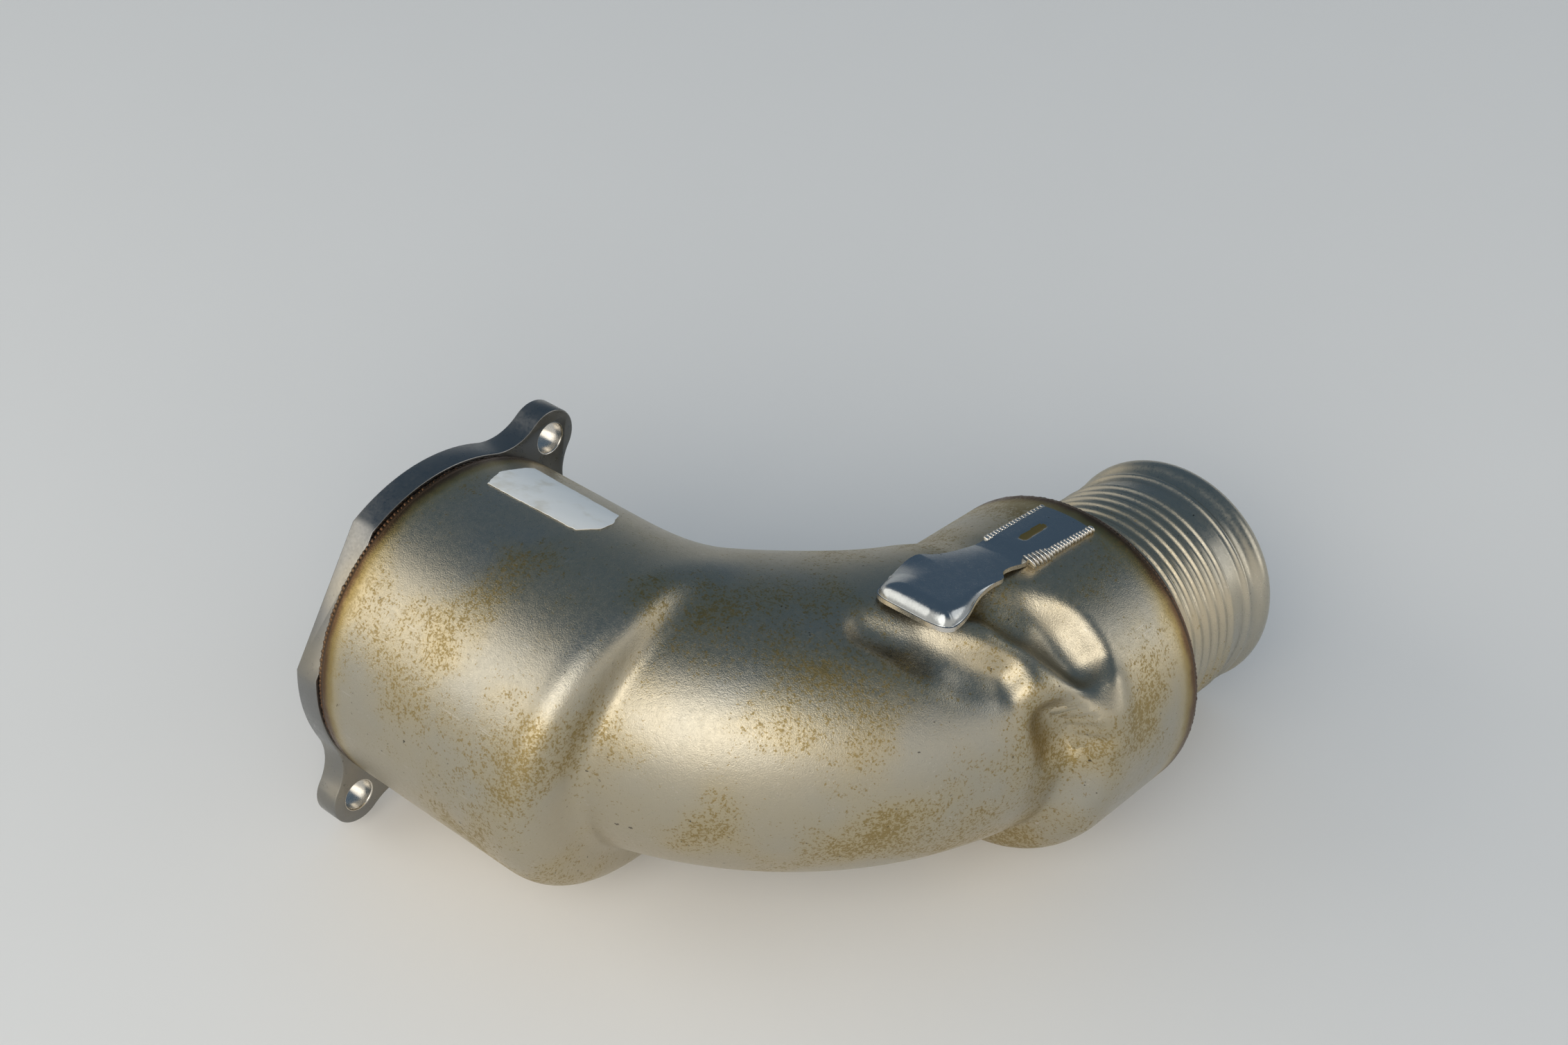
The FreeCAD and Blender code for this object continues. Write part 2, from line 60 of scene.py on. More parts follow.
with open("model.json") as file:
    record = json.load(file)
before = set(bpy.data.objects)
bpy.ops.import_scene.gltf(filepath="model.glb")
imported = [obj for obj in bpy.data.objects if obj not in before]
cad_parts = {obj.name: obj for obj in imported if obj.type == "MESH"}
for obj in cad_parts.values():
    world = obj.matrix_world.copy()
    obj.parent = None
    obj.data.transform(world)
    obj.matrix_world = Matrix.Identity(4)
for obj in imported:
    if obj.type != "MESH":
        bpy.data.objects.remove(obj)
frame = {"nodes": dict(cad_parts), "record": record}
CAD_LOW, CAD_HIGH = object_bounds()

MM = 0.001
PHOTO_WIDTH = 2262
FOCAL_PIXELS = 3300.0
CAMERA_PLACE = (0.30974, -0.27044, 0.28313)
CAMERA_AXES = ((0.75357, 0.6541, 0.06545), (-0.39235, 0.36764, 0.84315), (0.52744, -0.66105, 0.53368))


def mount(name):
    """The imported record's entry for one mount."""
    return next(m for m in frame["record"]["mounts"] if m["name"] == name)


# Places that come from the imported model
crossing_x = mount("outlet_bore")["pos_m"][0]
bolt_circle_r = mount("flange_bolts")["dims"]["pcd_mm"] / 2 * MM
bolt_hole_r = mount("flange_bolts")["dims"]["hole_r_mm"] * MM
shell_low, shell_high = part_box("outer_shell")
first_x = shell_low.x
rim_y = shell_high.y
spigot_low, spigot_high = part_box("outlet_spigot")


def length(name, description, value):
    return FloatProperty(name=name, description=description, default=value, unit="LENGTH", precision=5)


def factor(name, description, value):
    return FloatProperty(name=name, description=description, default=value, min=0.0, max=1.0,
                         subtype="FACTOR")


def number(name, description, value):
    return IntProperty(name=name, description=description, default=value)


def power(name, description, value):
    return FloatProperty(name=name, description=description, default=value, unit="POWER")


def colour(name, description, value):
    return FloatVectorProperty(name=name, description=description, default=value, size=3, min=0.0, max=1.0,
                               subtype="COLOR")


class ShellSizes(bpy.types.PropertyGroup):
    """Sizes of the pressed shell, as a bent pipe that joins two chambers."""
    sheet: length("Sheet", "Thickness of the steel sheet", 1.0 * MM)
    inlet_dia: length("Inlet chamber", "Diameter of the inlet chamber", 75.0 * MM)
    inlet_end_x: length("Inlet shoulder", "Where the inlet chamber ends", 65.8 * MM)
    inlet_end_rise: factor("Inlet lean", "How much the inlet shoulder leans with height", 0.1)
    inlet_edge_round: length("Inlet rounding", "Rounding of the inlet shoulder", 9.0 * MM)
    outlet_dia: length("Outlet chamber", "Diameter of the outlet chamber", 69.5 * MM)
    outlet_end_y: length("Outlet shoulder", "Where the outlet chamber starts", 54.0 * MM)
    outlet_end_lean: factor("Outlet lean", "How much the outlet shoulder leans outward", 0.03)
    outlet_end_rise: factor("Outlet rise", "How much the outlet shoulder leans with height", 0.05)
    outlet_edge_round: length("Outlet rounding", "Rounding of the outlet shoulder", 10.0 * MM)
    pipe_dia: length("Pipe", "Diameter of the bent pipe", 62.0 * MM)
    pipe_offset: length("Pipe offset", "Shift of the pipe to the inside of the bend", 3.5 * MM)
    pipe_rise: length("Pipe rise", "Height of the pipe over the chambers' middle", 3.0 * MM)
    pipe_bend: length("Pipe bend", "Bend radius of the pipe", 62.0 * MM)
    pipe_overlap: length("Pipe overlap", "Length of the pipe inside the outlet chamber", 7.0 * MM)
    pipe_end_round: length("Pipe end rounding", "Rounding of the pipe's end", 8.0 * MM)
    inside_dia: length("Inside stretch", "Diameter of the stretch across the inside of the bend", 55.0 * MM)
    inside_offset: length("Inside offset", "Distance of that stretch from the legs' crossing", 41.0 * MM)
    inside_rise: length("Inside rise", "Height of that stretch", 3.5 * MM)
    inside_half: length("Inside half length", "Half its length", 44.0 * MM)
    inside_round: length("Inside rounding", "Rounding of its ends", 10.0 * MM)
    pipe_round: length("Pipe blend", "Blend between the pipe and the inside stretch", 5.0 * MM)
    neck_round: length("Neck blend", "Blend between the pipe and the chambers", 3.0 * MM)
    section_bend: length("Section bend", "Bend radius of the line through the sections", 60.0 * MM)
    stations: number("Stations", "Rows of points along the skin", 226)
    around: number("Around", "Points in each row", 256)


class TrimSizes(bpy.types.PropertyGroup):
    """Sizes of the flange, cap, spigot, bracket and welds."""
    edge_break: length("Edge break", "Rounding of the machined edges", 0.35 * MM)
    cap_reach: length("Cap reach", "How far the end cap stands out of the shell", 3.2 * MM)
    cap_depth: length("Cap depth", "How far the end cap goes into the shell", 6.0 * MM)
    cap_corner: length("Cap corner", "Rounding of the end cap", 1.6 * MM)
    spigot_root_dia: length("Spigot root", "Diameter between the ribs", 50.8 * MM)
    rib_crest_dia: length("Rib crest", "Diameter over the ribs", 52.6 * MM)
    bead_dia: length("End bead", "Diameter over the end bead", 54.0 * MM)
    rib_start: length("First rib", "Distance of the first rib from the rim", 11.2 * MM)
    rib_pitch: length("Rib pitch", "Distance from rib to rib", 3.3 * MM)
    rib_count: number("Ribs", "Number of ribs in the row", 6)
    rib_share: factor("Rib share", "Share of the pitch that a rib takes", 0.72)
    band_length: length("Plain band", "Length of the plain band before the last rib", 3.6 * MM)
    bead_length: length("Bead length", "Length of the end bead", 5.2 * MM)
    turns: number("Segments", "Segments in a full turn", 180)
    bracket_sheet: length("Bracket sheet", "Thickness of the bracket", 1.0 * MM)
    bracket_lift: length("Bracket lift", "Lift of the bracket's free end", 3.6 * MM)
    lip_turn: length("Lip turn", "Depth of the turned-down lip", 3.8 * MM)
    lip_turn_width: length("Lip bend", "Width of the lip's bend", 4.4 * MM)
    lip_turn_far: length("Far lip turn", "Depth of the slope on the inner side", 3.0 * MM)
    lip_turn_far_width: length("Far lip bend", "Width of the slope on the inner side", 7.0 * MM)
    ripple: length("Weld ripple", "Distance between the ripples of a weld", 1.0 * MM)


class Finishes(bpy.types.PropertyGroup):
    """Colours of the steel, its oxide and the paper tag."""
    steel: colour("Steel", "Bare satin steel", (0.455, 0.408, 0.312))
    # Painted reflection: a cooler, darker grey laid in random patches stands in for the blue-grey reflection
    # of the surroundings, not for a film on the steel
    painted_reflection_steel: colour("Cool steel", "Steel with a thin blue-grey film", (0.37, 0.38, 0.365))
    straw: colour("Straw", "Straw-coloured heat film", (0.47, 0.385, 0.22))
    oxide: colour("Oxide", "Golden-brown oxide specks", (0.27, 0.19, 0.055))
    burnt: colour("Burnt", "Brown heat tint beside a weld", (0.115, 0.062, 0.034))
    soot: colour("Soot", "Dark specks and scratches", (0.035, 0.03, 0.027))
    blank: colour("Blank", "Smooth rolled sheet of the bracket", (0.38, 0.40, 0.41))
    bright: colour("Bright", "Freshly sheared or melted steel", (0.66, 0.63, 0.58))
    plate: colour("Plate", "Dark smooth flange plate", (0.24, 0.24, 0.235))
    paper: colour("Paper", "Paper of the tag", (0.84, 0.83, 0.79))


class StageSettings(bpy.types.PropertyGroup):
    """Floor, lamps and world."""
    floor: colour("Floor", "Colour of the floor", (0.78, 0.76, 0.73))
    key_watts: power("Key lamp", "Power of the warm lamp", 2.4)
    side_watts: power("Side lamp", "Power of the lamp at the flange's side", 1.1)
    back_watts: power("Back lamp", "Power of the lamp beyond the spigot", 0.75)
    horizon: colour("Horizon", "Colour of the world at the horizon", (0.86, 0.83, 0.77))
    overhead: colour("Overhead", "Colour of the world overhead", (0.10, 0.15, 0.21))
    world_level: FloatProperty(name="World", description="Strength of the world's light", default=1.6)


# Pressed folds: path of (distance from the outlet axis, from the chamber's start, height), then
# half width, depth (a ridge is negative) and how square the sides are
FOLDS = [
    (((2.5, -8.8, 33.2), (11.2, -3.6, 30.8), (18.4, 0.8, 26.6), (22.6, 2.6, 22.4)), 4.4, 4.6, 2.4),
    (((24.0, -6.0, 13.5), (26.0, -4.5, 8.0)), 4.6, 4.2, 2.5),
    (((26.0, -5.0, 8.0), (28.0, -6.0, -4.0)), 6.0, 1.6, 2),
    (((-6.5, -30.0, 31.0), (5.0, -25.0, 29.2), (12.0, -20.5, 26.0), (16.0, -15.0, 23.5)), 3.8, 2.8, 2),
    (((20.0, -9.0, 21.0), (24.0, -3.6, 18.2), (28.5, 2.0, 13.0)), 3.6, -3.4, 2),
    (((2.0, -17.0, 31.5), (9.0, -13.0, 29.5), (20.0, -5.6, 22.5)), 3.8, -2.0, 2),
    (((29.0, 5.5, 19.0), (32.0, 4.5, 7.0)), 3.6, -1.6, 2),
]
FOLD_REACH = 3.0

# Halvings of the search for a point of the skin, and rows outside for each row inside
HALVINGS = 22
INNER_SHARE = 4


def rounded_side(corners):
    """The corners of one side of the bracket, cut three times so that it runs smoothly."""
    for _ in range(3):
        cut = [corners[0]]
        for a, b in zip(corners, corners[1:]):
            cut.append((0.75 * a[0] + 0.25 * b[0], 0.75 * a[1] + 0.25 * b[1]))
            cut.append((0.25 * a[0] + 0.75 * b[0], 0.25 * a[1] + 0.75 * b[1]))
        corners = cut + [corners[-1]]
    return corners


# Outline of the bracket from above: distance from the outlet axis, distance back from the rim
BRACKET_NEAR = rounded_side(((6.1, 5.2), (4.9, 23.0), (3.4, 29.0), (3.6, 32.8), (5.6, 34.2), (5.4, 39.0),
                             (6.0, 44.0), (7.9, 49.0), (8.5, 53.6), (7.4, 56.2), (4.0, 57.0), (2.0, 57.0)))
BRACKET_FAR = rounded_side(((-5.8, 5.2), (-6.6, 22.0), (-8.3, 37.0), (-11.0, 40.6), (-11.7, 45.0),
                            (-11.0, 52.0), (-9.8, 56.0), (-7.4, 57.0), (-4.5, 57.0)))
BRACKET_ROWS = 200
BRACKET_COLUMNS = 76

# Distances back from the rim: where the bracket lifts off, where its lip starts on the near side, how
# long it takes to reach its full depth, where it ends on the far side, and where that side's slope
# grows; then how steep the lip ends and the bracket's least height over the skin
BRACKET_LIFT_RUN = (27.0, 57.0)
LIP_START = 37.0
LIP_FADE = 17.0
LIP_FAR_START = 50.0
FAR_SLOPE_RUN = (41.0, 49.0)
LIP_BEND_END = 0.95
BRACKET_AIR = 0.1

# Filled slot in the bracket: its ends, half width, soft edge and depth, and the share of the depth
# from which a face is shown as filled
SLOT_ENDS = ((-1.2, 12.2), (-1.2, 18.6))
SLOT_HALF_WIDTH = 1.1
SLOT_EDGE = 0.8
SLOT_SINK = 0.25
PLUG_SHARE = 0.6

# Weld beads beside the bracket: distances from the axis and back from the rim, then the radius at
# each end
WELD_RUNS = (
    ("bead_near_start", ((4.7, 24.6), (5.1, 21.5), (5.35, 19.0)), (1.75, 1.45), "bracket_weld_near", 3),
    ("bead_near", ((5.35, 19.0), (5.6, 14.0), (6.1, 4.8)), (1.05, 0.85), "bracket_weld_near", 11),
    ("bead_far", ((-6.7, 23.6), (-6.4, 16.0), (-5.9, 5.4)), (0.8, 0.7), "bracket_weld_far", 5),
)

# Height of the beads' middle over the skin, then the form of the ripples in a bead and in a ring seam
WELD_LIFT = 0.65
BEAD_SHAPE = {"Flatness": 0.58, "Tilt": 0.6, "Ripple Segments": 20, "Ripple Rings": 10}
SEAM_SHAPE = {"Flatness": 0.9, "Tilt": 0.35, "Seed": 7}
SEAM_POINTS = 220

# Paper tag: place of each corner along the inlet leg and its angle from +Y towards +Z, then the
# sizes of its torn edge, its mesh and its sheet
TAG_CORNERS = ((15.8, 89.0), (13.8, 81.0), (14.2, 66.0), (39.4, 67.0), (42.6, 75.0), (43.1, 81.0),
               (40.3, 88.0))
TAG_EDGE_STEP = 0.8 * MM
TAG_TEAR = 0.07 * MM
TAG_CELL = 1.0 * MM
TAG_CREASE = 0.04 * MM
TAG_SHEET = 0.12 * MM

# Flange: angle of the ears from +Y, and how far beyond a hole's radius its wall is looked for
EAR_ANGLE = 50.0
HOLE_MARGIN = 0.3 * MM

# Angles in degrees: faces that are flatter are merged, edges that are sharper are broken or shown sharp
FLAT_ANGLE = 1.0
BREAK_ANGLE = 40.0
SHARP_ANGLE = 35.0
TAG_SHARP_ANGLE = 50.0

# Steps of the spigot's profile are this many times longer in its bore
COARSE = 10

# Clearance between neighbours, and the distance under which points are merged
CLEARANCE = 0.05 * MM
MERGE = 0.002 * MM

# Stage: half side of the floor, distance of the lamps, and for each its direction, size and colour
FLOOR_HALF = 3.0
LAMP_DISTANCE = 0.8
LAMPS = (
    ("key", (0.36, -0.82, 0.44), 0.70, (1.0, 0.96, 0.89)),
    ("side", (-0.62, -0.68, 0.39), 0.60, (1.0, 0.95, 0.86)),
    ("back", (0.70, 0.62, 0.35), 0.50, (1.0, 0.97, 0.92)),
)

# Resting side of the part: how much its area counts, and how level it must be
REST_AREA_WEIGHT = 40.0
REST_LEVEL = 0.97


def blend_min(a, b, k):
    h = np.maximum(k - np.abs(a - b), 0.0) / k
    return np.minimum(a, b) - h * h * k / 4


def blend_max(a, b, k):
    return -blend_min(-a, -b, k)


def to_segment(p, a, b):
    """Distance of points p from the straight line between a and b."""
    a = np.array(a) * MM
    ab = np.array(b) * MM - a
    share = np.clip(((p - a) @ ab) / (ab @ ab), 0.0, 1.0)
    return np.linalg.norm(p - a - share[..., None] * ab, axis=-1)


def pipe_distance(s, x, y, z):
    corner_x = crossing_x - s.pipe_offset
    bend_x = corner_x - s.pipe_bend
    bend_y = s.pipe_offset + s.pipe_bend
    bent = np.hypot(x - bend_x, y - bend_y) - s.pipe_bend
    side = np.where(x <= bend_x, y - s.pipe_offset, np.where(y >= bend_y, x - corner_x, bent))
    tube = np.hypot(side, z - s.pipe_rise) - s.pipe_dia / 2
    return blend_max(tube, y - s.outlet_end_y - s.pipe_overlap, s.pipe_end_round)


def inside_distance(s, x, y, z):
    side = (crossing_x - x + y) / math.sqrt(2) - s.inside_offset
    along = (x + y - crossing_x) / math.sqrt(2)
    tube = np.hypot(side, z - s.inside_rise) - s.inside_dia / 2
    return blend_max(tube, np.abs(along) - s.inside_half, s.inside_round)


def inlet_distance(s, x, y, z):
    end = s.inlet_end_x + s.inlet_end_rise * z
    return blend_max(np.hypot(y, z) - s.inlet_dia / 2, x - end, s.inlet_edge_round)


def outlet_distance(s, x, y, z):
    across = x - crossing_x
    end = s.outlet_end_y - s.outlet_end_lean * across + s.outlet_end_rise * z
    return blend_max(np.hypot(across, z) - s.outlet_dia / 2, end - y, s.outlet_edge_round)


def shell_distance(s, p):
    """Signed distance of points p from the outer skin, with its pressed folds."""
    x, y, z = p[..., 0], p[..., 1], p[..., 2]
    neck = blend_min(pipe_distance(s, x, y, z), inside_distance(s, x, y, z), s.pipe_round)
    value = blend_min(neck, inlet_distance(s, x, y, z), s.neck_round)
    value = blend_min(value, outlet_distance(s, x, y, z), s.neck_round)
    place = p - np.array([crossing_x, s.outlet_end_y, 0.0])
    for path, width, depth, square in FOLDS:
        near = to_segment(place, path[0], path[1])
        for a, b in zip(path[1:], path[2:]):
            near = blend_min(near, to_segment(place, a, b), width * MM)
        near = np.maximum(near, 0.0) / (width * MM)
        value = value + np.where(near < FOLD_REACH, depth * MM * np.exp(-near ** square), 0.0)
    return value


def halve(inside, low, high):
    """Largest reach, point by point, for which inside(reach) still holds."""
    for _ in range(HALVINGS):
        middle = (low + high) / 2
        held = inside(middle)
        low = np.where(held, middle, low)
        high = np.where(held, high, middle)
    return (low + high) / 2


def sections(s, count):
    """Centres and outward directions of the sections, evenly spaced along the elbow."""
    straight = crossing_x - s.section_bend
    arc = s.section_bend * math.pi / 2
    total = straight + arc + rim_y - s.section_bend
    run = np.linspace(first_x, total, count)
    turn = np.clip((run - straight) / s.section_bend, 0.0, math.pi / 2)
    x = np.minimum(run, straight) + s.section_bend * np.sin(turn)
    y = s.section_bend * (1 - np.cos(turn)) + np.maximum(run - straight - arc, 0.0)
    centres = np.stack([x, y, 0 * x], -1)
    outward = np.stack([np.sin(turn), -np.cos(turn), 0 * x], -1)
    return centres, outward


def skin_grid(s, rows, around, inset):
    """Grid of points of the skin, moved in by inset."""
    centres, outward = sections(s, rows)
    angles = np.linspace(0, 2 * math.pi, around, endpoint=False)
    up = np.array([0.0, 0.0, 1.0])
    rays = outward[:, None] * np.cos(angles)[None, :, None] + up * np.sin(angles)[None, :, None]
    start = np.full(rays.shape[:2], s.neck_round)
    stop = np.full(rays.shape[:2], s.inlet_dia)

    def inside(reach):
        return shell_distance(s, centres[:, None] + rays * reach[..., None]) < -inset

    return centres[:, None] + rays * halve(inside, start, stop)[..., None]


def skin_height(s, x, y):
    """Height of the top of the skin over each place in the middle plane."""
    def inside(z):
        return shell_distance(s, np.stack([x, y, z], -1)) < 0

    return halve(inside, np.zeros_like(x), np.full_like(x, s.inlet_dia))


def ring_faces(rows, around, start=0):
    """Quads of a grid that is closed around."""
    faces = []
    for i in range(rows - 1):
        for j in range(around):
            k = (j + 1) % around
            low, high = start + i * around, start + (i + 1) * around
            faces.append((low + j, low + k, high + k, high + j))
    return faces


def add_object(name, data):
    thing = bpy.data.objects.new(name, data)
    bpy.context.scene.collection.objects.link(thing)
    return thing


def add_mesh(name, points, edges, faces):
    mesh = bpy.data.meshes.new(name)
    mesh.from_pydata([tuple(p) for p in points], edges, faces)
    return add_object(name, mesh)


def applied(thing, modifier):
    """The object's mesh with its modifier applied, which is then removed."""
    bpy.context.view_layer.update()
    built = bpy.data.meshes.new_from_object(thing.evaluated_get(bpy.context.evaluated_depsgraph_get()))
    thing.modifiers.remove(modifier)
    return built


def finish_mesh(mesh):
    """Merge doubles, turn faces outward and shade smooth."""
    work = bmesh.new()
    work.from_mesh(mesh)
    bmesh.ops.remove_doubles(work, verts=work.verts, dist=MERGE)
    bmesh.ops.recalc_face_normals(work, faces=work.faces)
    for face in work.faces:
        face.smooth = True
    work.to_mesh(mesh)
    work.free()


def place_piece(piece, replaced):
    """Let a piece ride on the body and stand for its CAD nodes."""
    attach(piece, "root")
    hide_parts(*replaced)
    return piece


def add_node(tree, kind, **settings):
    node = tree.nodes.new(kind)
    for key, value in settings.items():
        setattr(node, key, value)
    return node


def feed(tree, socket, value):
    """Link a socket to an output, or set it to a plain value."""
    if isinstance(value, bpy.types.NodeSocket):
        tree.links.new(value, socket)
    else:
        socket.default_value = value


def calc(tree, operation, *values):
    """A math node; gives its output."""
    node = add_node(tree, "ShaderNodeMath", operation=operation)
    for socket, value in zip(node.inputs, values):
        feed(tree, socket, value)
    return node.outputs[0]


def plus(tree, a, b):
    return calc(tree, "ADD", a, b)


def minus(tree, a, b):
    return calc(tree, "SUBTRACT", a, b)


def times(tree, a, b):
    return calc(tree, "MULTIPLY", a, b)


def ratio(tree, a, b):
    return calc(tree, "DIVIDE", a, b)


def geometry_tree(name, sockets):
    """An empty Geometry Nodes tree with named inputs; gives the tree, its input and its output node."""
    tree = bpy.data.node_groups.new(name, "GeometryNodeTree")
    tree.interface.new_socket("Geometry", in_out="INPUT", socket_type="NodeSocketGeometry")
    for label, kind, value in sockets:
        socket = tree.interface.new_socket(label, in_out="INPUT", socket_type="NodeSocket" + kind)
        if value is not None:
            socket.default_value = value
    tree.interface.new_socket("Geometry", in_out="OUTPUT", socket_type="NodeSocketGeometry")
    return tree, add_node(tree, "NodeGroupInput"), add_node(tree, "NodeGroupOutput")


def close_tree(tree, geometry, material, out):
    """Realize the instances, shade smooth and give the material, because instances aren't exported."""
    real = add_node(tree, "GeometryNodeRealizeInstances")
    smooth = add_node(tree, "GeometryNodeSetShadeSmooth")
    paint = add_node(tree, "GeometryNodeSetMaterial")
    tree.links.new(geometry, real.inputs[0])
    tree.links.new(real.outputs[0], smooth.inputs[0])
    tree.links.new(smooth.outputs[0], paint.inputs[0])
    tree.links.new(material, paint.inputs["Material"])
    tree.links.new(paint.outputs[0], out.inputs[0])


def lathe_tree():
    """Turns a closed profile of (radius, place) points about the Y axis, with a row of round ribs."""
    tree, given, out = geometry_tree("Turned with ribs", [
        ("Segments", "Int", 96), ("Profile Points", "Int", 8), ("Rib Start", "Float", 0.0),
        ("Rib Pitch", "Float", 1.0), ("Rib Count", "Int", 0), ("Rib Share", "Float", 0.6),
        ("Rib Height", "Float", 0.0), ("Rib Floor", "Float", 0.0), ("Material", "Material", None)])
    columns = plus(tree, given.outputs["Profile Points"], 1)
    rows = plus(tree, given.outputs["Segments"], 1)
    grid = add_node(tree, "GeometryNodeMeshGrid")
    grid.inputs["Size X"].default_value = 1.0
    grid.inputs["Size Y"].default_value = 1.0
    tree.links.new(columns, grid.inputs["Vertices X"])
    tree.links.new(rows, grid.inputs["Vertices Y"])
    place = add_node(tree, "ShaderNodeSeparateXYZ")
    tree.links.new(add_node(tree, "GeometryNodeInputPosition").outputs[0], place.inputs[0])
    along = times(tree, plus(tree, place.outputs[0], 0.5), given.outputs["Profile Points"])
    index = calc(tree, "MODULO", calc(tree, "ROUND", along), given.outputs["Profile Points"])
    sample = add_node(tree, "GeometryNodeSampleIndex", data_type="FLOAT_VECTOR", domain="POINT")
    tree.links.new(given.outputs["Geometry"], sample.inputs["Geometry"])
    tree.links.new(add_node(tree, "GeometryNodeInputPosition").outputs[0], sample.inputs["Value"])
    tree.links.new(index, sample.inputs["Index"])
    profile = add_node(tree, "ShaderNodeSeparateXYZ")
    tree.links.new(sample.outputs[0], profile.inputs[0])
    radius, at = profile.outputs[0], profile.outputs[1]
    count = ratio(tree, minus(tree, at, given.outputs["Rib Start"]), given.outputs["Rib Pitch"])
    share = ratio(tree, calc(tree, "FRACT", count), given.outputs["Rib Share"])
    swing = calc(tree, "COSINE", times(tree, calc(tree, "MINIMUM", share, 1.0), 2 * math.pi))
    pulse = times(tree, minus(tree, 1.0, swing), 0.5)
    above = calc(tree, "GREATER_THAN", count, 0.0)
    below = calc(tree, "LESS_THAN", count, given.outputs["Rib Count"])
    outside = calc(tree, "GREATER_THAN", radius, given.outputs["Rib Floor"])
    mask = times(tree, times(tree, above, below), outside)
    rib = times(tree, times(tree, pulse, mask), given.outputs["Rib Height"])
    reach = plus(tree, radius, rib)
    turn = times(tree, plus(tree, place.outputs[1], 0.5), 2 * math.pi)
    spot = add_node(tree, "ShaderNodeCombineXYZ")
    tree.links.new(times(tree, reach, calc(tree, "COSINE", turn)), spot.inputs[0])
    tree.links.new(at, spot.inputs[1])
    tree.links.new(times(tree, reach, calc(tree, "SINE", turn)), spot.inputs[2])
    move = add_node(tree, "GeometryNodeSetPosition")
    tree.links.new(grid.outputs[0], move.inputs["Geometry"])
    tree.links.new(spot.outputs[0], move.inputs["Position"])
    close_tree(tree, move.outputs[0], given.outputs["Material"], out)
    return tree


def bead_tree():
    """A weld bead along a path: overlapping ripples, thick at the start."""
    tree, given, out = geometry_tree("Weld bead", [
        ("Ripple", "Float", 1.0), ("Start Radius", "Float", 1.0), ("End Radius", "Float", 1.0),
        ("Flatness", "Float", 0.5), ("Tilt", "Float", 0.5), ("Seed", "Int", 1),
        ("Ripple Segments", "Int", 10), ("Ripple Rings", "Int", 5), ("Material", "Material", None)])
    path = add_node(tree, "GeometryNodeMeshToCurve")
    tree.links.new(given.outputs["Geometry"], path.inputs["Mesh"])
    steps = add_node(tree, "GeometryNodeResampleCurve", mode="LENGTH")
    tree.links.new(path.outputs[0], steps.inputs["Curve"])
    tree.links.new(given.outputs["Ripple"], steps.inputs["Length"])
    share = add_node(tree, "GeometryNodeSplineParameter").outputs["Factor"]
    spread = minus(tree, given.outputs["End Radius"], given.outputs["Start Radius"])
    radius = plus(tree, given.outputs["Start Radius"], times(tree, spread, share))
    chance = add_node(tree, "FunctionNodeRandomValue", data_type="FLOAT")
    chance.inputs[2].default_value = 0.86
    chance.inputs[3].default_value = 1.12
    tree.links.new(given.outputs["Seed"], chance.inputs["Seed"])
    wide = times(tree, radius, chance.outputs[1])
    scale = add_node(tree, "ShaderNodeCombineXYZ")
    tree.links.new(wide, scale.inputs[0])
    tree.links.new(wide, scale.inputs[1])
    tree.links.new(times(tree, given.outputs["Ripple"], given.outputs["Flatness"]), scale.inputs[2])
    aim = add_node(tree, "FunctionNodeAlignRotationToVector", axis="Z")
    tree.links.new(add_node(tree, "GeometryNodeInputTangent").outputs[0], aim.inputs["Vector"])
    ripple = add_node(tree, "GeometryNodeMeshUVSphere")
    tree.links.new(given.outputs["Ripple Segments"], ripple.inputs["Segments"])
    tree.links.new(given.outputs["Ripple Rings"], ripple.inputs["Rings"])
    ripple.inputs["Radius"].default_value = 1.0
    lean = add_node(tree, "FunctionNodeRotateRotation", rotation_space="LOCAL")
    tree.links.new(aim.outputs[0], lean.inputs[0])
    angles = add_node(tree, "ShaderNodeCombineXYZ")
    tree.links.new(given.outputs["Tilt"], angles.inputs[0])
    turn = add_node(tree, "FunctionNodeEulerToRotation")
    tree.links.new(angles.outputs[0], turn.inputs[0])
    tree.links.new(turn.outputs[0], lean.inputs[1])
    copies = add_node(tree, "GeometryNodeInstanceOnPoints")
    tree.links.new(steps.outputs[0], copies.inputs["Points"])
    tree.links.new(ripple.outputs[0], copies.inputs["Instance"])
    tree.links.new(lean.outputs[0], copies.inputs["Rotation"])
    tree.links.new(scale.outputs[0], copies.inputs["Scale"])
    close_tree(tree, copies.outputs[0], given.outputs["Material"], out)
    return tree


def run_tree(name, points, closed, tree, values, replaced, matrix=None):
    """Feed a path of points to a tree, keep the result as a plain mesh piece and drop the modifier."""
    edges = [(i, i + 1) for i in range(len(points) - 1)]
    if closed:
        edges.append((len(points) - 1, 0))
    source = add_mesh(name + "_path", points, edges, [])
    modifier = source.modifiers.new("Build", "NODES")
    modifier.node_group = tree
    for item in tree.interface.items_tree:
        if item.in_out == "INPUT" and item.name in values:
            modifier[item.identifier] = values[item.name]
    built = applied(source, modifier)
    bpy.data.objects.remove(source)
    built.name = name
    if matrix is not None:
        built.transform(matrix)
    finish_mesh(built)
    return place_piece(add_object(name, built), replaced)


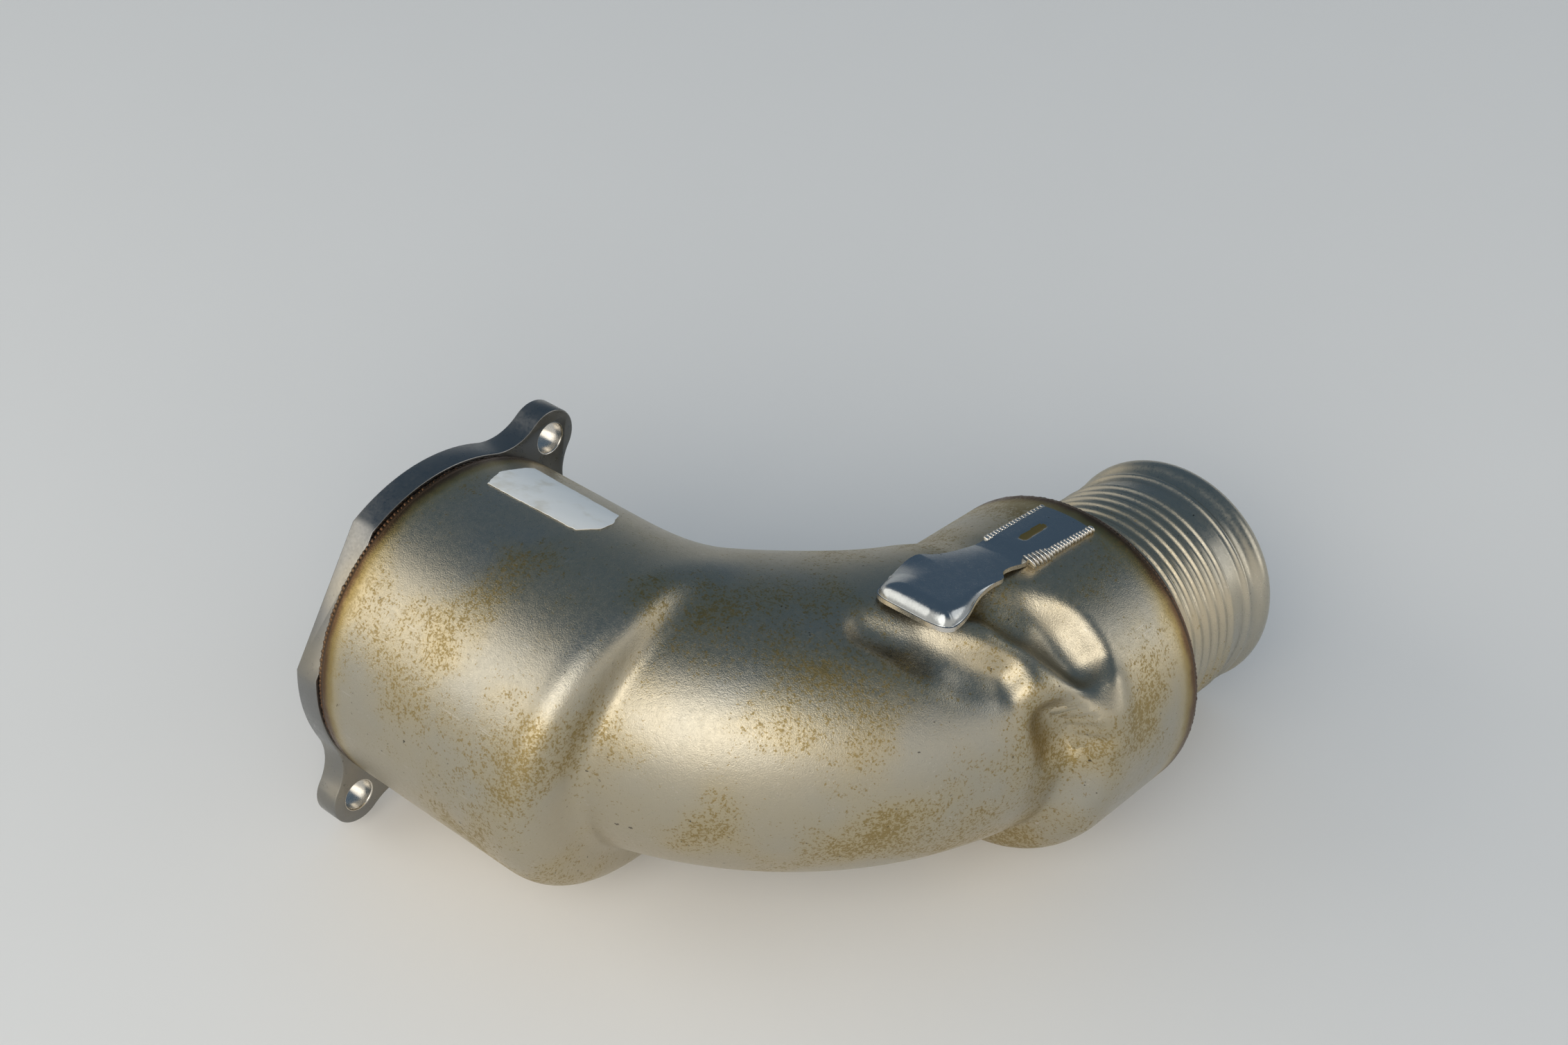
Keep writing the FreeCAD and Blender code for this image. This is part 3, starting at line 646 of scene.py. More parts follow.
def rounded_profile(corners, step, coarse_below=0.0):
    """Closed profile of (radius, place) points with rounded corners, given as (r, y, rounding); the
    steps are longer inside the radius coarse_below."""
    points = []
    count = len(corners)
    for i, (r, y, rounding) in enumerate(corners):
        p = Vector((r, y))
        before = Vector(corners[i - 1][:2]) - p
        after = Vector(corners[(i + 1) % count][:2]) - p
        cut = min(rounding, before.length * 0.49, after.length * 0.49)
        start = p + before.normalized() * cut
        stop = p + after.normalized() * cut
        for k in range(6):
            t = k / 5
            points.append(start * (1 - t) ** 2 + p * (2 * t * (1 - t)) + stop * t ** 2)
    dense = []
    for a, b in zip(points, points[1:] + points[:1]):
        run = (b - a).length
        pieces = max(1, round(run / (step if max(a.x, b.x) > coarse_below else COARSE * step)))
        dense += [a.lerp(b, k / pieces) for k in range(pieces)]
    return [(p.x, p.y, 0.0) for p in dense]


def material_tree(name):
    """A new material with an empty Principled shader; gives the material, its tree and the shader."""
    material = bpy.data.materials.new(name)
    material.use_nodes = True
    tree = material.node_tree
    return material, tree, tree.nodes["Principled BSDF"]


def shader_group(name, inputs, outputs):
    tree = bpy.data.node_groups.new(name, "ShaderNodeTree")
    for label, kind, value in inputs:
        socket = tree.interface.new_socket(label, in_out="INPUT", socket_type="NodeSocket" + kind)
        if value is not None:
            socket.default_value = value
    for label, kind in outputs:
        tree.interface.new_socket(label, in_out="OUTPUT", socket_type="NodeSocket" + kind)
    return tree, add_node(tree, "NodeGroupInput"), add_node(tree, "NodeGroupOutput")


def noise(tree, vector, scale, detail=2.0, roughness=0.5):
    node = add_node(tree, "ShaderNodeTexNoise")
    tree.links.new(vector, node.inputs["Vector"])
    feed(tree, node.inputs["Scale"], scale)
    node.inputs["Detail"].default_value = detail
    node.inputs["Roughness"].default_value = roughness
    return node.outputs[0]


def ramp(tree, value, low, high):
    """A smooth step from 0 to 1 between two values."""
    node = add_node(tree, "ShaderNodeMapRange", interpolation_type="SMOOTHSTEP")
    tree.links.new(value, node.inputs["Value"])
    node.inputs["From Min"].default_value = low
    node.inputs["From Max"].default_value = high
    return node.outputs["Result"]


def mix_colour(tree, share, a, b):
    node = add_node(tree, "ShaderNodeMix", data_type="RGBA")
    feed(tree, node.inputs[0], share)
    feed(tree, node.inputs[6], a)
    feed(tree, node.inputs[7], b)
    return node.outputs[2]


def solid_colour(value):
    return (value[0], value[1], value[2], 1.0)


def tint(tree, base, mask, amount, value):
    """Mix a plain colour over base, by amount where the mask is 1."""
    return mix_colour(tree, times(tree, mask, amount), base, solid_colour(value))


def per_mm(size):
    """Noise scale, in a space of metres, for features of this size in millimetres."""
    return 1.0 / (size * MM)


def grain_group():
    """Fine satin grain and orange peel of drawn sheet, as a height in metres and a roughness shift."""
    tree, given, out = shader_group(
        "Satin grain", [("Vector", "Vector", None), ("Grain Size", "Float", 0.35), ("Depth", "Float", 0.004)],
        [("Height", "Float"), ("Roughness", "Float")])
    where = given.outputs["Vector"]
    fine = noise(tree, where, ratio(tree, 1000.0, given.outputs["Grain Size"]), 3.0, 0.6)
    peel = noise(tree, where, ratio(tree, 260.0, given.outputs["Grain Size"]), 2.0, 0.5)
    wave = noise(tree, where, per_mm(9.0), 2.0, 0.5)
    height = plus(tree, fine, times(tree, peel, 0.6))
    total = plus(tree, height, times(tree, wave, 0.8))
    metres = times(tree, total, times(tree, given.outputs["Depth"], MM))
    tree.links.new(metres, out.inputs["Height"])
    shift = minus(tree, height, 0.8)
    tree.links.new(times(tree, shift, 0.34), out.inputs["Roughness"])
    return tree


def oxide_group():
    """Golden-brown specks that gather in patches, and small dark specks, as two masks."""
    tree, given, out = shader_group(
        "Oxide specks", [("Vector", "Vector", None), ("Amount", "Float", 0.5)],
        [("Specks", "Float"), ("Film", "Float"), ("Soot", "Float")])
    where = given.outputs["Vector"]
    patches = noise(tree, where, per_mm(22.0), 2.0, 0.5)
    dots = noise(tree, where, per_mm(1.3), 3.0, 0.6)
    dust = noise(tree, where, per_mm(0.5), 2.0, 0.6)
    amount = minus(tree, given.outputs["Amount"], 0.5)
    gathered = plus(tree, times(tree, patches, 0.8), times(tree, dots, 0.55))
    raised = plus(tree, plus(tree, gathered, times(tree, dust, 0.75)), amount)
    tree.links.new(ramp(tree, raised, 1.1, 1.24), out.inputs["Specks"])
    tree.links.new(ramp(tree, plus(tree, patches, amount), 0.38, 0.72), out.inputs["Film"])
    black = noise(tree, where, per_mm(1.15), 2.0, 0.5)
    rare = noise(tree, where, per_mm(14.0), 1.0, 0.5)
    tree.links.new(times(tree, ramp(tree, black, 0.71, 0.76), ramp(tree, rare, 0.42, 0.6)),
                   out.inputs["Soot"])
    return tree


def scratch_group():
    """Short fine scratches in two directions, as a mask."""
    tree, given, out = shader_group("Fine scratches", [("Vector", "Vector", None)], [("Mask", "Float")])
    masks = []
    for turn, reach in ((0.5, (1.0, 0.035, 1.0)), (1.9, (0.04, 1.0, 0.6))):
        mapping = add_node(tree, "ShaderNodeMapping")
        tree.links.new(given.outputs["Vector"], mapping.inputs["Vector"])
        mapping.inputs["Rotation"].default_value = (turn, 0.6, turn)
        mapping.inputs["Scale"].default_value = reach
        line = noise(tree, mapping.outputs[0], per_mm(0.4), 1.0, 0.5)
        where = noise(tree, given.outputs["Vector"], per_mm(6.0), 1.0, 0.5)
        masks.append(times(tree, ramp(tree, line, 0.68, 0.73), ramp(tree, where, 0.52, 0.66)))
    tree.links.new(calc(tree, "MAXIMUM", masks[0], masks[1]), out.inputs["Mask"])
    return tree


def object_vector(tree):
    return add_node(tree, "ShaderNodeTexCoord").outputs["Object"]


def use_group(tree, group, vector, **values):
    node = add_node(tree, "ShaderNodeGroup", node_tree=group)
    tree.links.new(vector, node.inputs["Vector"])
    for label, value in values.items():
        feed(tree, node.inputs[label.replace("_", " ")], value)
    return node


def bump_from(tree, shader, height):
    bump = add_node(tree, "ShaderNodeBump")
    bump.inputs["Distance"].default_value = 1.0
    tree.links.new(height, bump.inputs["Height"])
    tree.links.new(bump.outputs[0], shader.inputs["Normal"])


class Palette:
    """Shader groups and finished materials, each built once."""

    def __init__(self, finishes):
        self.finishes = finishes
        self.grain = grain_group()
        self.oxide = oxide_group()
        self.scratches = scratch_group()
        self.made = {}

    def get(self, name, build):
        if name not in self.made:
            self.made[name] = build(self)
        return self.made[name]


def heat_bands(tree, f, colour_in, where, place, edge, reach):
    """Heat tint that runs to an edge from reach before it: steel, then straw, then burnt brown."""
    uneven = minus(tree, noise(tree, where, per_mm(5.0), 2.0), 0.5)
    share = ratio(tree, minus(tree, place, edge), reach)
    share = plus(tree, share, times(tree, uneven, 0.25))
    straw = tint(tree, colour_in, ramp(tree, share, 1.0, 0.35), 0.8, f.straw)
    golden = tint(tree, straw, ramp(tree, share, 0.6, 0.3), 0.75, f.oxide)
    return tint(tree, golden, ramp(tree, share, 0.36, 0.1), 0.92, f.burnt)


def sheet_steel(name, grain_size, depth, roughness, oxide_amount, heat=()):
    """Builder of a satin sheet-steel material; heat lists (axis, edge, reach) of tinted ends."""
    def build(palette):
        f = palette.finishes
        material, tree, shader = material_tree(name)
        where = object_vector(tree)
        grain = use_group(tree, palette.grain, where, Grain_Size=grain_size, Depth=depth)
        oxide = use_group(tree, palette.oxide, where, Amount=oxide_amount)
        scratches = use_group(tree, palette.scratches, where)
        # Painted reflection: random patches of the cooler grey stand in for the blue-grey reflection of the
        # surroundings
        cool = ramp(tree, noise(tree, where, per_mm(38.0), 2.0), 0.42, 0.66)
        base = tint(tree, solid_colour(f.steel), cool, 0.45, f.painted_reflection_steel)
        base = tint(tree, base, oxide.outputs["Film"], 0.75, f.straw)
        base = tint(tree, base, oxide.outputs["Specks"], 0.75, f.oxide)
        base = tint(tree, base, scratches.outputs["Mask"], 0.3, f.bright)
        base = tint(tree, base, oxide.outputs["Soot"], 0.8, f.soot)
        place = add_node(tree, "ShaderNodeSeparateXYZ")
        tree.links.new(where, place.inputs[0])
        for axis, edge, reach in heat:
            base = heat_bands(tree, f, base, where, place.outputs[axis], edge, reach)
        tree.links.new(base, shader.inputs["Base Color"])
        shader.inputs["Metallic"].default_value = 1.0
        rough = plus(tree, grain.outputs["Roughness"], roughness)
        rough = plus(tree, rough, times(tree, oxide.outputs["Specks"], 0.12))
        tree.links.new(rough, shader.inputs["Roughness"])
        bump_from(tree, shader, grain.outputs["Height"])
        return material
    return build


def plain_steel(name, colour_name, roughness, grain_size=0.5, depth=0.002, film=0.25, metal=1.0):
    """Builder of a plainer steel material for plates, welds and cut edges."""
    def build(palette):
        f = palette.finishes
        material, tree, shader = material_tree(name)
        where = object_vector(tree)
        grain = use_group(tree, palette.grain, where, Grain_Size=grain_size, Depth=depth)
        oxide = use_group(tree, palette.oxide, where, Amount=0.45)
        base = solid_colour(getattr(f, colour_name))
        base = tint(tree, base, oxide.outputs["Film"], film, f.straw)
        base = tint(tree, base, oxide.outputs["Soot"], 0.6, f.soot)
        tree.links.new(base, shader.inputs["Base Color"])
        shader.inputs["Metallic"].default_value = metal
        tree.links.new(plus(tree, grain.outputs["Roughness"], roughness), shader.inputs["Roughness"])
        bump_from(tree, shader, grain.outputs["Height"])
        return material
    return build


def paper_finish(palette):
    """Matte paper with fine fibre, a little grime and a soft yellow cast."""
    f = palette.finishes
    material, tree, shader = material_tree("tag_paper")
    where = object_vector(tree)
    fibre = noise(tree, where, per_mm(0.25), 3.0, 0.7)
    grime = ramp(tree, noise(tree, where, per_mm(7.0), 3.0, 0.6), 0.5, 0.75)
    base = tint(tree, solid_colour(f.paper), grime, 0.35, f.straw)
    tree.links.new(base, shader.inputs["Base Color"])
    shader.inputs["Roughness"].default_value = 0.85
    bump_from(tree, shader, times(tree, fibre, 0.02 * MM))
    return material


# Heat tint: axis of the band, place of the hot edge and how far the tint reaches from it
SHELL_HEAT = ((1, rim_y, -8.5 * MM), (0, first_x, 7.0 * MM))
SPIGOT_HEAT = ((1, rim_y + 3.0 * MM, 6.0 * MM),)

MATERIALS = {
    "shell": sheet_steel("satin_shell_steel", 0.3, 0.06, 0.35, 0.5, SHELL_HEAT),
    "spigot": sheet_steel("turned_spigot_steel", 0.5, 0.01, 0.32, 0.36, SPIGOT_HEAT),
    "cap": plain_steel("heat_brown_cap", "burnt", 0.36, film=0.12),
    "bracket": plain_steel("bracket_sheet_steel", "blank", 0.2, 0.4, 0.008, 0.1),
    "plug": plain_steel("plug_steel", "oxide", 0.45, 0.4, 0.02, 0.1, 0.85),
    "sheared": plain_steel("sheared_edge", "bright", 0.28, 0.25, 0.006, 0.1),
    "weld": plain_steel("melted_weld", "bright", 0.26, 0.3, 0.006, 0.2),
    "tinted_weld": plain_steel("brown_weld", "burnt", 0.34, 0.3, 0.006, 0.2),
    "plate": plain_steel("flange_plate_steel", "plate", 0.34, 0.6, 0.003, 0.35),
    "bored": plain_steel("bored_steel", "bright", 0.25, 0.3, 0.003, 0.15),
    "sleeve": plain_steel("sleeve_steel", "steel", 0.4),
    "paper": paper_finish,
}
palette_box = {}


def material(key):
    """The named material, built at its first use."""
    if "palette" not in palette_box:
        palette_box["palette"] = Palette(bpy.context.scene.muffler_finishes)
    return palette_box["palette"].get(key, MATERIALS[key])


def paint(piece, *keys):
    """Give a piece its materials, slot by slot, so that its faces keep the slots they were given."""
    slots = piece.data.materials
    for index, key in enumerate(keys):
        if index < len(slots):
            slots[index] = material(key)
        else:
            slots.append(material(key))


class MUFFLER_OT_shell(bpy.types.Operator):
    """Build the pressed shell from its shape rule."""
    bl_idname = "muffler.shell"
    bl_label = "Shell"

    def execute(self, context):
        s = context.scene.muffler_shell
        outer = skin_grid(s, s.stations, s.around, 0.0)
        inner_rows = s.stations // INNER_SHARE
        inner = skin_grid(s, inner_rows, s.around, s.sheet)
        points = np.concatenate([outer.reshape(-1, 3), inner.reshape(-1, 3)])
        faces = ring_faces(s.stations, s.around)
        base = s.stations * s.around
        faces += ring_faces(inner_rows, s.around, base)
        last_outer = (s.stations - 1) * s.around
        last_inner = base + (inner_rows - 1) * s.around
        for outer_row, inner_row in ((0, base), (last_outer, last_inner)):
            for j in range(s.around):
                k = (j + 1) % s.around
                faces.append((outer_row + j, outer_row + k, inner_row + k, inner_row + j))
        piece = add_mesh("pressed_shell", points, [], faces)
        finish_mesh(piece.data)
        place_piece(piece, ["outer_shell"])
        paint(piece, "shell")
        return {"FINISHED"}


def outline_reach(corners, back):
    """Distance from the outlet axis of one side of the bracket, at each distance back from the rim."""
    return np.interp(back, [c[1] for c in corners], [c[0] for c in corners])


def lip_gap(across, back):
    """Distance in millimetres from the free edge that the lip runs along."""
    edge = [c for c in BRACKET_NEAR if c[1] >= LIP_START]
    edge += [c for c in BRACKET_FAR[::-1] if c[1] >= LIP_FAR_START]
    place = np.stack([across, back, 0 * across], -1) * MM
    gap = np.full(across.shape, 100.0)
    for a, b in zip(edge, edge[1:]):
        gap = np.minimum(gap, to_segment(place, (*a, 0.0), (*b, 0.0)) / MM)
    return gap


def lip_drop(turn, width, gap):
    """Drop of a lip that bends through a quarter ellipse, at a gap in millimetres from its edge."""
    bend = np.clip(1 - gap * MM / width, 0.0, LIP_BEND_END)
    return turn * (1 - np.sqrt(1 - bend ** 2)) / (1 - math.sqrt(1 - LIP_BEND_END ** 2))


def bracket_underside(s, t, across, back):
    """Height of the bracket's underside, in metres, from places in millimetres."""
    start, stop = BRACKET_LIFT_RUN
    share = np.clip((back - start) / (stop - start), 0.0, 1.0)
    flat = np.minimum(1.0, 2 * share)
    radius = s.outlet_dia / 2
    curved = np.sqrt(radius ** 2 - (across * MM) ** 2)
    height = curved * (1 - flat) + radius * flat + t.bracket_lift * share
    grown = np.clip((back - LIP_START) / LIP_FADE, 0.05, 1.0)
    drop = lip_drop(t.lip_turn * grown, t.lip_turn_width * grown, lip_gap(across, back))
    far = across - outline_reach(BRACKET_FAR, np.clip(back, *FAR_SLOPE_RUN))
    slope = t.lip_turn_far * np.clip(1 - far * MM / t.lip_turn_far_width, 0.0, 1.0) ** 1.5
    slope = slope * np.clip((back - FAR_SLOPE_RUN[0]) / (FAR_SLOPE_RUN[1] - FAR_SLOPE_RUN[0]), 0.0, 1.0)
    drop = blend_max(drop, slope, t.lip_turn_far / 2)
    over = skin_height(s, crossing_x + across * MM, rim_y - back * MM)
    return np.maximum(height - drop, over + BRACKET_AIR * MM * flat)


def slot_depth(across, back):
    """How far the filled slot lies below the bracket's top, as a share."""
    place = np.stack([across, back, 0 * across], -1)
    away = to_segment(place * MM, (*SLOT_ENDS[0], 0.0), (*SLOT_ENDS[1], 0.0)) / MM
    return np.clip((SLOT_HALF_WIDTH - away) / SLOT_EDGE + 0.5, 0.0, 1.0)


def plate_faces(rows, columns):
    """Faces of a plate of two grids, the lower and the upper, then those of the strip round their rim;
    gives the faces and where the strip starts."""
    count = rows * columns
    faces = []
    for i in range(rows - 1):
        for j in range(columns - 1):
            a = i * columns + j
            b = a + columns
            faces.append((a, a + 1, b + 1, b))
            faces.append((a + count, b + count, b + 1 + count, a + 1 + count))
    edge_start = len(faces)
    rim = list(range(columns))
    rim += [(i + 1) * columns - 1 for i in range(1, rows)]
    rim += [count - 1 - j for j in range(1, columns)]
    rim += [(rows - 1 - i) * columns for i in range(1, rows - 1)]
    for a, b in zip(rim, rim[1:] + rim[:1]):
        faces.append((a, b, b + count, a + count))
    return faces, edge_start


class MUFFLER_OT_bracket(bpy.types.Operator):
    """Build the bracket and the weld beads along its edges."""
    bl_idname = "muffler.bracket"
    bl_label = "Bracket"

    def execute(self, context):
        s = context.scene.muffler_shell
        t = context.scene.muffler_trim
        ease = np.sin(np.linspace(0, math.pi / 2, BRACKET_ROWS))
        back = BRACKET_NEAR[0][1] + (BRACKET_NEAR[-1][1] - BRACKET_NEAR[0][1]) * ease
        near = outline_reach(BRACKET_NEAR, back)
        far = outline_reach(BRACKET_FAR, back)
        share = (1 - np.cos(np.linspace(0, math.pi, BRACKET_COLUMNS))) / 2
        across = far[:, None] + (near - far)[:, None] * share[None, :]
        backs = np.repeat(back[:, None], BRACKET_COLUMNS, 1)
        low = bracket_underside(s, t, across, backs)
        under = np.stack([crossing_x + across * MM, rim_y - backs * MM, low], -1)
        top = under.copy()
        sunk = slot_depth(across, backs).reshape(-1)
        top[..., 2] += t.bracket_sheet - SLOT_SINK * MM * sunk.reshape(across.shape)
        count = BRACKET_ROWS * BRACKET_COLUMNS
        points = np.concatenate([under.reshape(-1, 3), top.reshape(-1, 3)])
        faces, edge_start = plate_faces(BRACKET_ROWS, BRACKET_COLUMNS)
        piece = add_mesh("bracket_plate", points, [], faces)
        mesh = piece.data
        for polygon in mesh.polygons:
            polygon.use_smooth = True
            if polygon.index >= edge_start:
                polygon.material_index = 1
            elif polygon.vertices[0] >= count and sunk[polygon.vertices[0] - count] > PLUG_SHARE:
                polygon.material_index = 2
        work = bmesh.new()
        work.from_mesh(mesh)
        bmesh.ops.recalc_face_normals(work, faces=work.faces)
        for edge in work.edges:
            if len({face.material_index == 1 for face in edge.link_faces}) == 2:
                edge.smooth = False
        work.to_mesh(mesh)
        work.free()
        place_piece(piece, ["mounting_bracket"])
        paint(piece, "bracket", "sheared", "plug")
        tree = bead_tree()
        for name, path, radii, replaced, seed in WELD_RUNS:
            points = []
            for offset, distance in path:
                height = math.sqrt((s.outlet_dia / 2) ** 2 - (offset * MM) ** 2) + WELD_LIFT * MM
                points.append((crossing_x + offset * MM, rim_y - distance * MM, height))
            values = {"Ripple": t.ripple, "Start Radius": radii[0] * MM, "End Radius": radii[1] * MM,
                      "Seed": seed, "Material": material("weld"), **BEAD_SHAPE}
            run_tree(name, points, False, tree, values, [replaced])
        return {"FINISHED"}


class MUFFLER_OT_turned(bpy.types.Operator):
    """Build the ribbed spigot, the end cap and the weld rings."""
    bl_idname = "muffler.turned"
    bl_label = "Spigot and rings"

    def execute(self, context):
        s = context.scene.muffler_shell
        t = context.scene.muffler_trim
        lathe = lathe_tree()
        to_outlet = Matrix.Translation((crossing_x, 0, 0))
        to_inlet = Matrix.Rotation(math.radians(90), 4, "Z") @ Matrix.Rotation(math.pi, 4, "X")
        root = t.spigot_root_dia / 2
        bead = t.bead_dia / 2
        crest = t.rib_crest_dia / 2
        bore = mount("outlet_bore")["dims"]["r_mm"] * MM
        end = spigot_high.y
        ribs_end = rim_y + t.rib_start + t.rib_pitch * t.rib_count
        last = ribs_end + t.band_length
        rib = t.rib_pitch * t.rib_share
        bead_start = end - t.bead_length
        corners = [
            (root, spigot_low.y, 0.1 * MM), (root, rim_y + t.rib_start, 0.0), (root, ribs_end, 0.0),
            (root, last, 0.8 * MM), (crest, last + rib * 0.35, 0.8 * MM),
            (crest, last + rib * 0.65, 0.6 * MM), (root, last + rib, 0.6 * MM),
            (root, bead_start - 0.5 * MM, 1.2 * MM), (bead - 0.1 * MM, bead_start + 1.5 * MM, 2.0 * MM),
            (bead, end - 2.0 * MM, 1.6 * MM), (bead - 0.9 * MM, end, 0.8 * MM),
            (bore + 0.5 * MM, end, 0.5 * MM), (bore, end - 0.7 * MM, 0.4 * MM),
            (bore, spigot_low.y, 0.1 * MM)]
        profile = rounded_profile(corners, 0.24 * MM, bore + 0.2 * MM)
        values = {
            "Segments": t.turns, "Profile Points": len(profile), "Rib Start": rim_y + t.rib_start,
            "Rib Pitch": t.rib_pitch, "Rib Count": t.rib_count, "Rib Share": t.rib_share,
            "Rib Height": crest - root, "Rib Floor": root - 0.2 * MM, "Material": material("spigot")}
        run_tree("ribbed_spigot", profile, True, lathe, values, ["outlet_spigot"], to_outlet)
        outer = s.outlet_dia / 2 - s.sheet - CLEARANCE
        hole = root + CLEARANCE
        cap_in, cap_out = rim_y - t.cap_depth, rim_y + t.cap_reach
        corners = [
            (outer, cap_in, 0.2 * MM), (outer, rim_y + 0.8 * MM, 0.2 * MM),
            (outer - 0.5 * MM, rim_y + 1.2 * MM, 0.3 * MM), (outer - 0.3 * MM, cap_out - 0.9 * MM, 0.6 * MM),
            (outer - t.cap_corner, cap_out, 0.9 * MM), (hole, cap_out, 0.2 * MM),
            (hole, cap_out - s.sheet, 0.2 * MM),
            (outer - s.sheet - t.cap_corner, cap_out - s.sheet, 0.5 * MM),
            (outer - s.sheet, cap_out - s.sheet - t.cap_corner, 0.5 * MM),
            (outer - s.sheet, cap_in, 0.2 * MM)]
        profile = rounded_profile(corners, 0.5 * MM)
        values = {"Segments": t.turns, "Profile Points": len(profile), "Rib Count": 0,
                  "Material": material("cap")}
        run_tree("end_cap_ring", profile, True, lathe, values, ["end_cap"], to_outlet)
        ripples = bpy.data.node_groups["Weld bead"]
        seams = [
            ("cap_seam", s.outlet_dia / 2 - 0.55 * MM, rim_y + 0.1 * MM, 0.55, to_outlet, "end_cap_weld"),
            ("spigot_seam", root + 0.4 * MM, cap_out + 0.2 * MM, 0.8, to_outlet, "spigot_weld"),
            ("flange_seam", s.inlet_dia / 2 - 0.9 * MM, first_x - 0.5 * MM, 0.85, to_inlet, "flange_weld")]
        for name, radius, place, thick, matrix, replaced in seams:
            points = []
            for i in range(SEAM_POINTS):
                turn = 2 * math.pi * i / SEAM_POINTS
                points.append((radius * math.cos(turn), place, radius * math.sin(turn)))
            values = {"Ripple": t.ripple, "Start Radius": thick * MM, "End Radius": thick * MM,
                      "Material": material("tinted_weld"), **SEAM_SHAPE}
            run_tree(name, points, True, ripples, values, [replaced], matrix)
        return {"FINISHED"}


class MUFFLER_OT_flange(bpy.types.Operator):
    """Dress the flange: a merged copy with broken edges and bright bolt holes."""
    bl_idname = "muffler.flange"
    bl_label = "Flange"

    def execute(self, context):
        t = context.scene.muffler_trim
        mesh = frame["nodes"]["inlet_flange"].data.copy()
        mesh.name = "flange_plate"
        work = bmesh.new()
        work.from_mesh(mesh)
        bmesh.ops.remove_doubles(work, verts=work.verts, dist=MERGE)
        bmesh.ops.dissolve_limit(work, angle_limit=math.radians(FLAT_ANGLE), verts=work.verts,
                                 edges=work.edges)
        work.to_mesh(mesh)
        work.free()
        piece = add_object("flange_plate", mesh)
        bevel = piece.modifiers.new("Edge break", "BEVEL")
        bevel.width = t.edge_break
        bevel.segments = 3
        bevel.limit_method = "ANGLE"
        bevel.angle_limit = math.radians(BREAK_ANGLE)
        built = applied(piece, bevel)
        piece.data = built
        built.materials.clear()
        place_piece(piece, ["inlet_flange"])
        paint(piece, "plate", "bored")
        angle = math.radians(EAR_ANGLE)
        hole_y, hole_z = bolt_circle_r * math.cos(angle), bolt_circle_r * math.sin(angle)
        for polygon in built.polygons:
            polygon.use_smooth = True
            for side in (-1, 1):
                off = math.hypot(polygon.center.y - side * hole_y, polygon.center.z - side * hole_z)
                if off < bolt_hole_r + HOLE_MARGIN:
                    polygon.material_index = 1
        built.set_sharp_from_angle(angle=math.radians(SHARP_ANGLE))
        return {"FINISHED"}


class MUFFLER_OT_tag(bpy.types.Operator):
    """Lay the torn paper tag on the inlet chamber."""
    bl_idname = "muffler.tag"
    bl_label = "Paper tag"

    def execute(self, context):
        s = context.scene.muffler_shell
        radius = s.inlet_dia / 2
        random = np.random.default_rng(4)
        corners = [Vector((x * MM, math.radians(a) * radius)) for x, a in TAG_CORNERS]
        work = bmesh.new()
        outline = []
        for a, b in zip(corners, corners[1:] + corners[:1]):
            steps = max(2, int((b - a).length / TAG_EDGE_STEP))
            for k in range(steps):
                p = a.lerp(b, k / steps)
                p += Vector(random.normal(0, TAG_TEAR, 2))
                outline.append(work.verts.new((p.x, p.y, 0)))
        work.faces.new(outline)
        low = Vector((min(c.x for c in corners), min(c.y for c in corners)))
        high = Vector((max(c.x for c in corners), max(c.y for c in corners)))
        for axis in (0, 1):
            cuts = int((high[axis] - low[axis]) / TAG_CELL)
            for i in range(1, cuts):
                at = low[axis] + (high[axis] - low[axis]) * i / cuts
                point = (at, 0, 0) if axis == 0 else (0, at, 0)
                normal = (1, 0, 0) if axis == 0 else (0, 1, 0)
                bmesh.ops.bisect_plane(work, geom=work.verts[:] + work.edges[:] + work.faces[:],
                                       plane_co=point, plane_no=normal)
        bmesh.ops.triangulate(work, faces=work.faces)
        mesh = bpy.data.meshes.new("torn_tag")
        work.to_mesh(mesh)
        work.free()
        for vertex in mesh.vertices:
            x, arc = vertex.co.x, vertex.co.y
            crease = TAG_CREASE * math.sin(x / (2.3 * MM) + arc / (3.1 * MM)) * math.sin(arc / (1.7 * MM))
            reach = radius + TAG_SHEET + crease
            vertex.co = (x, reach * math.cos(arc / radius), reach * math.sin(arc / radius))
        piece = add_object("torn_tag", mesh)
        thick = piece.modifiers.new("Thickness", "SOLIDIFY")
        thick.thickness = TAG_SHEET
        thick.offset = 0
        built = applied(piece, thick)
        piece.data = built
        finish_mesh(built)
        built.set_sharp_from_angle(angle=math.radians(TAG_SHARP_ANGLE))
        place_piece(piece, ["paper_label"])
        paint(piece, "paper")
        return {"FINISHED"}


class MUFFLER_OT_inside(bpy.types.Operator):
    """Give the inner sleeves, rings, seal and plug weld their finish."""
    bl_idname = "muffler.inside"
    bl_label = "Inner pieces"

    def execute(self, context):
        finishes = {
            "flange_seal": "bored", "inlet_sleeve": "sleeve", "inlet_divider": "sleeve",
            "inlet_baffle": "sleeve", "outlet_baffle": "sleeve", "outlet_sleeve": "sleeve",
            "bracket_plug_weld": "tinted_weld"}
        for node, key in finishes.items():
            paint(frame["nodes"][node], key)
        return {"FINISHED"}


def resting_plane():
    """A point and the upward normal of the floor that the part lies on, from its lowest hull face."""
    work = bmesh.new()
    for node in frame["nodes"].values():
        work.from_mesh(node.data)
    centre = sum((v.co for v in work.verts), Vector()) / len(work.verts)
    hull = bmesh.ops.convex_hull(work, input=work.verts)
    faces = [g for g in hull["geom"] if isinstance(g, bmesh.types.BMFace)]
    best = min(faces, key=lambda f: rest_cost(f, centre))
    normal = best.normal.copy()
    if normal.z < 0:
        normal = -normal
    point = best.calc_center_median()
    work.free()
    return point, normal


def rest_cost(face, centre):
    """Low for a large downward face under the middle of the part."""
    normal = face.normal
    if normal.dot(face.calc_center_median() - centre) < 0:
        normal = -normal
    return normal.z - REST_AREA_WEIGHT * math.sqrt(face.calc_area()) * (normal.z < -REST_LEVEL)


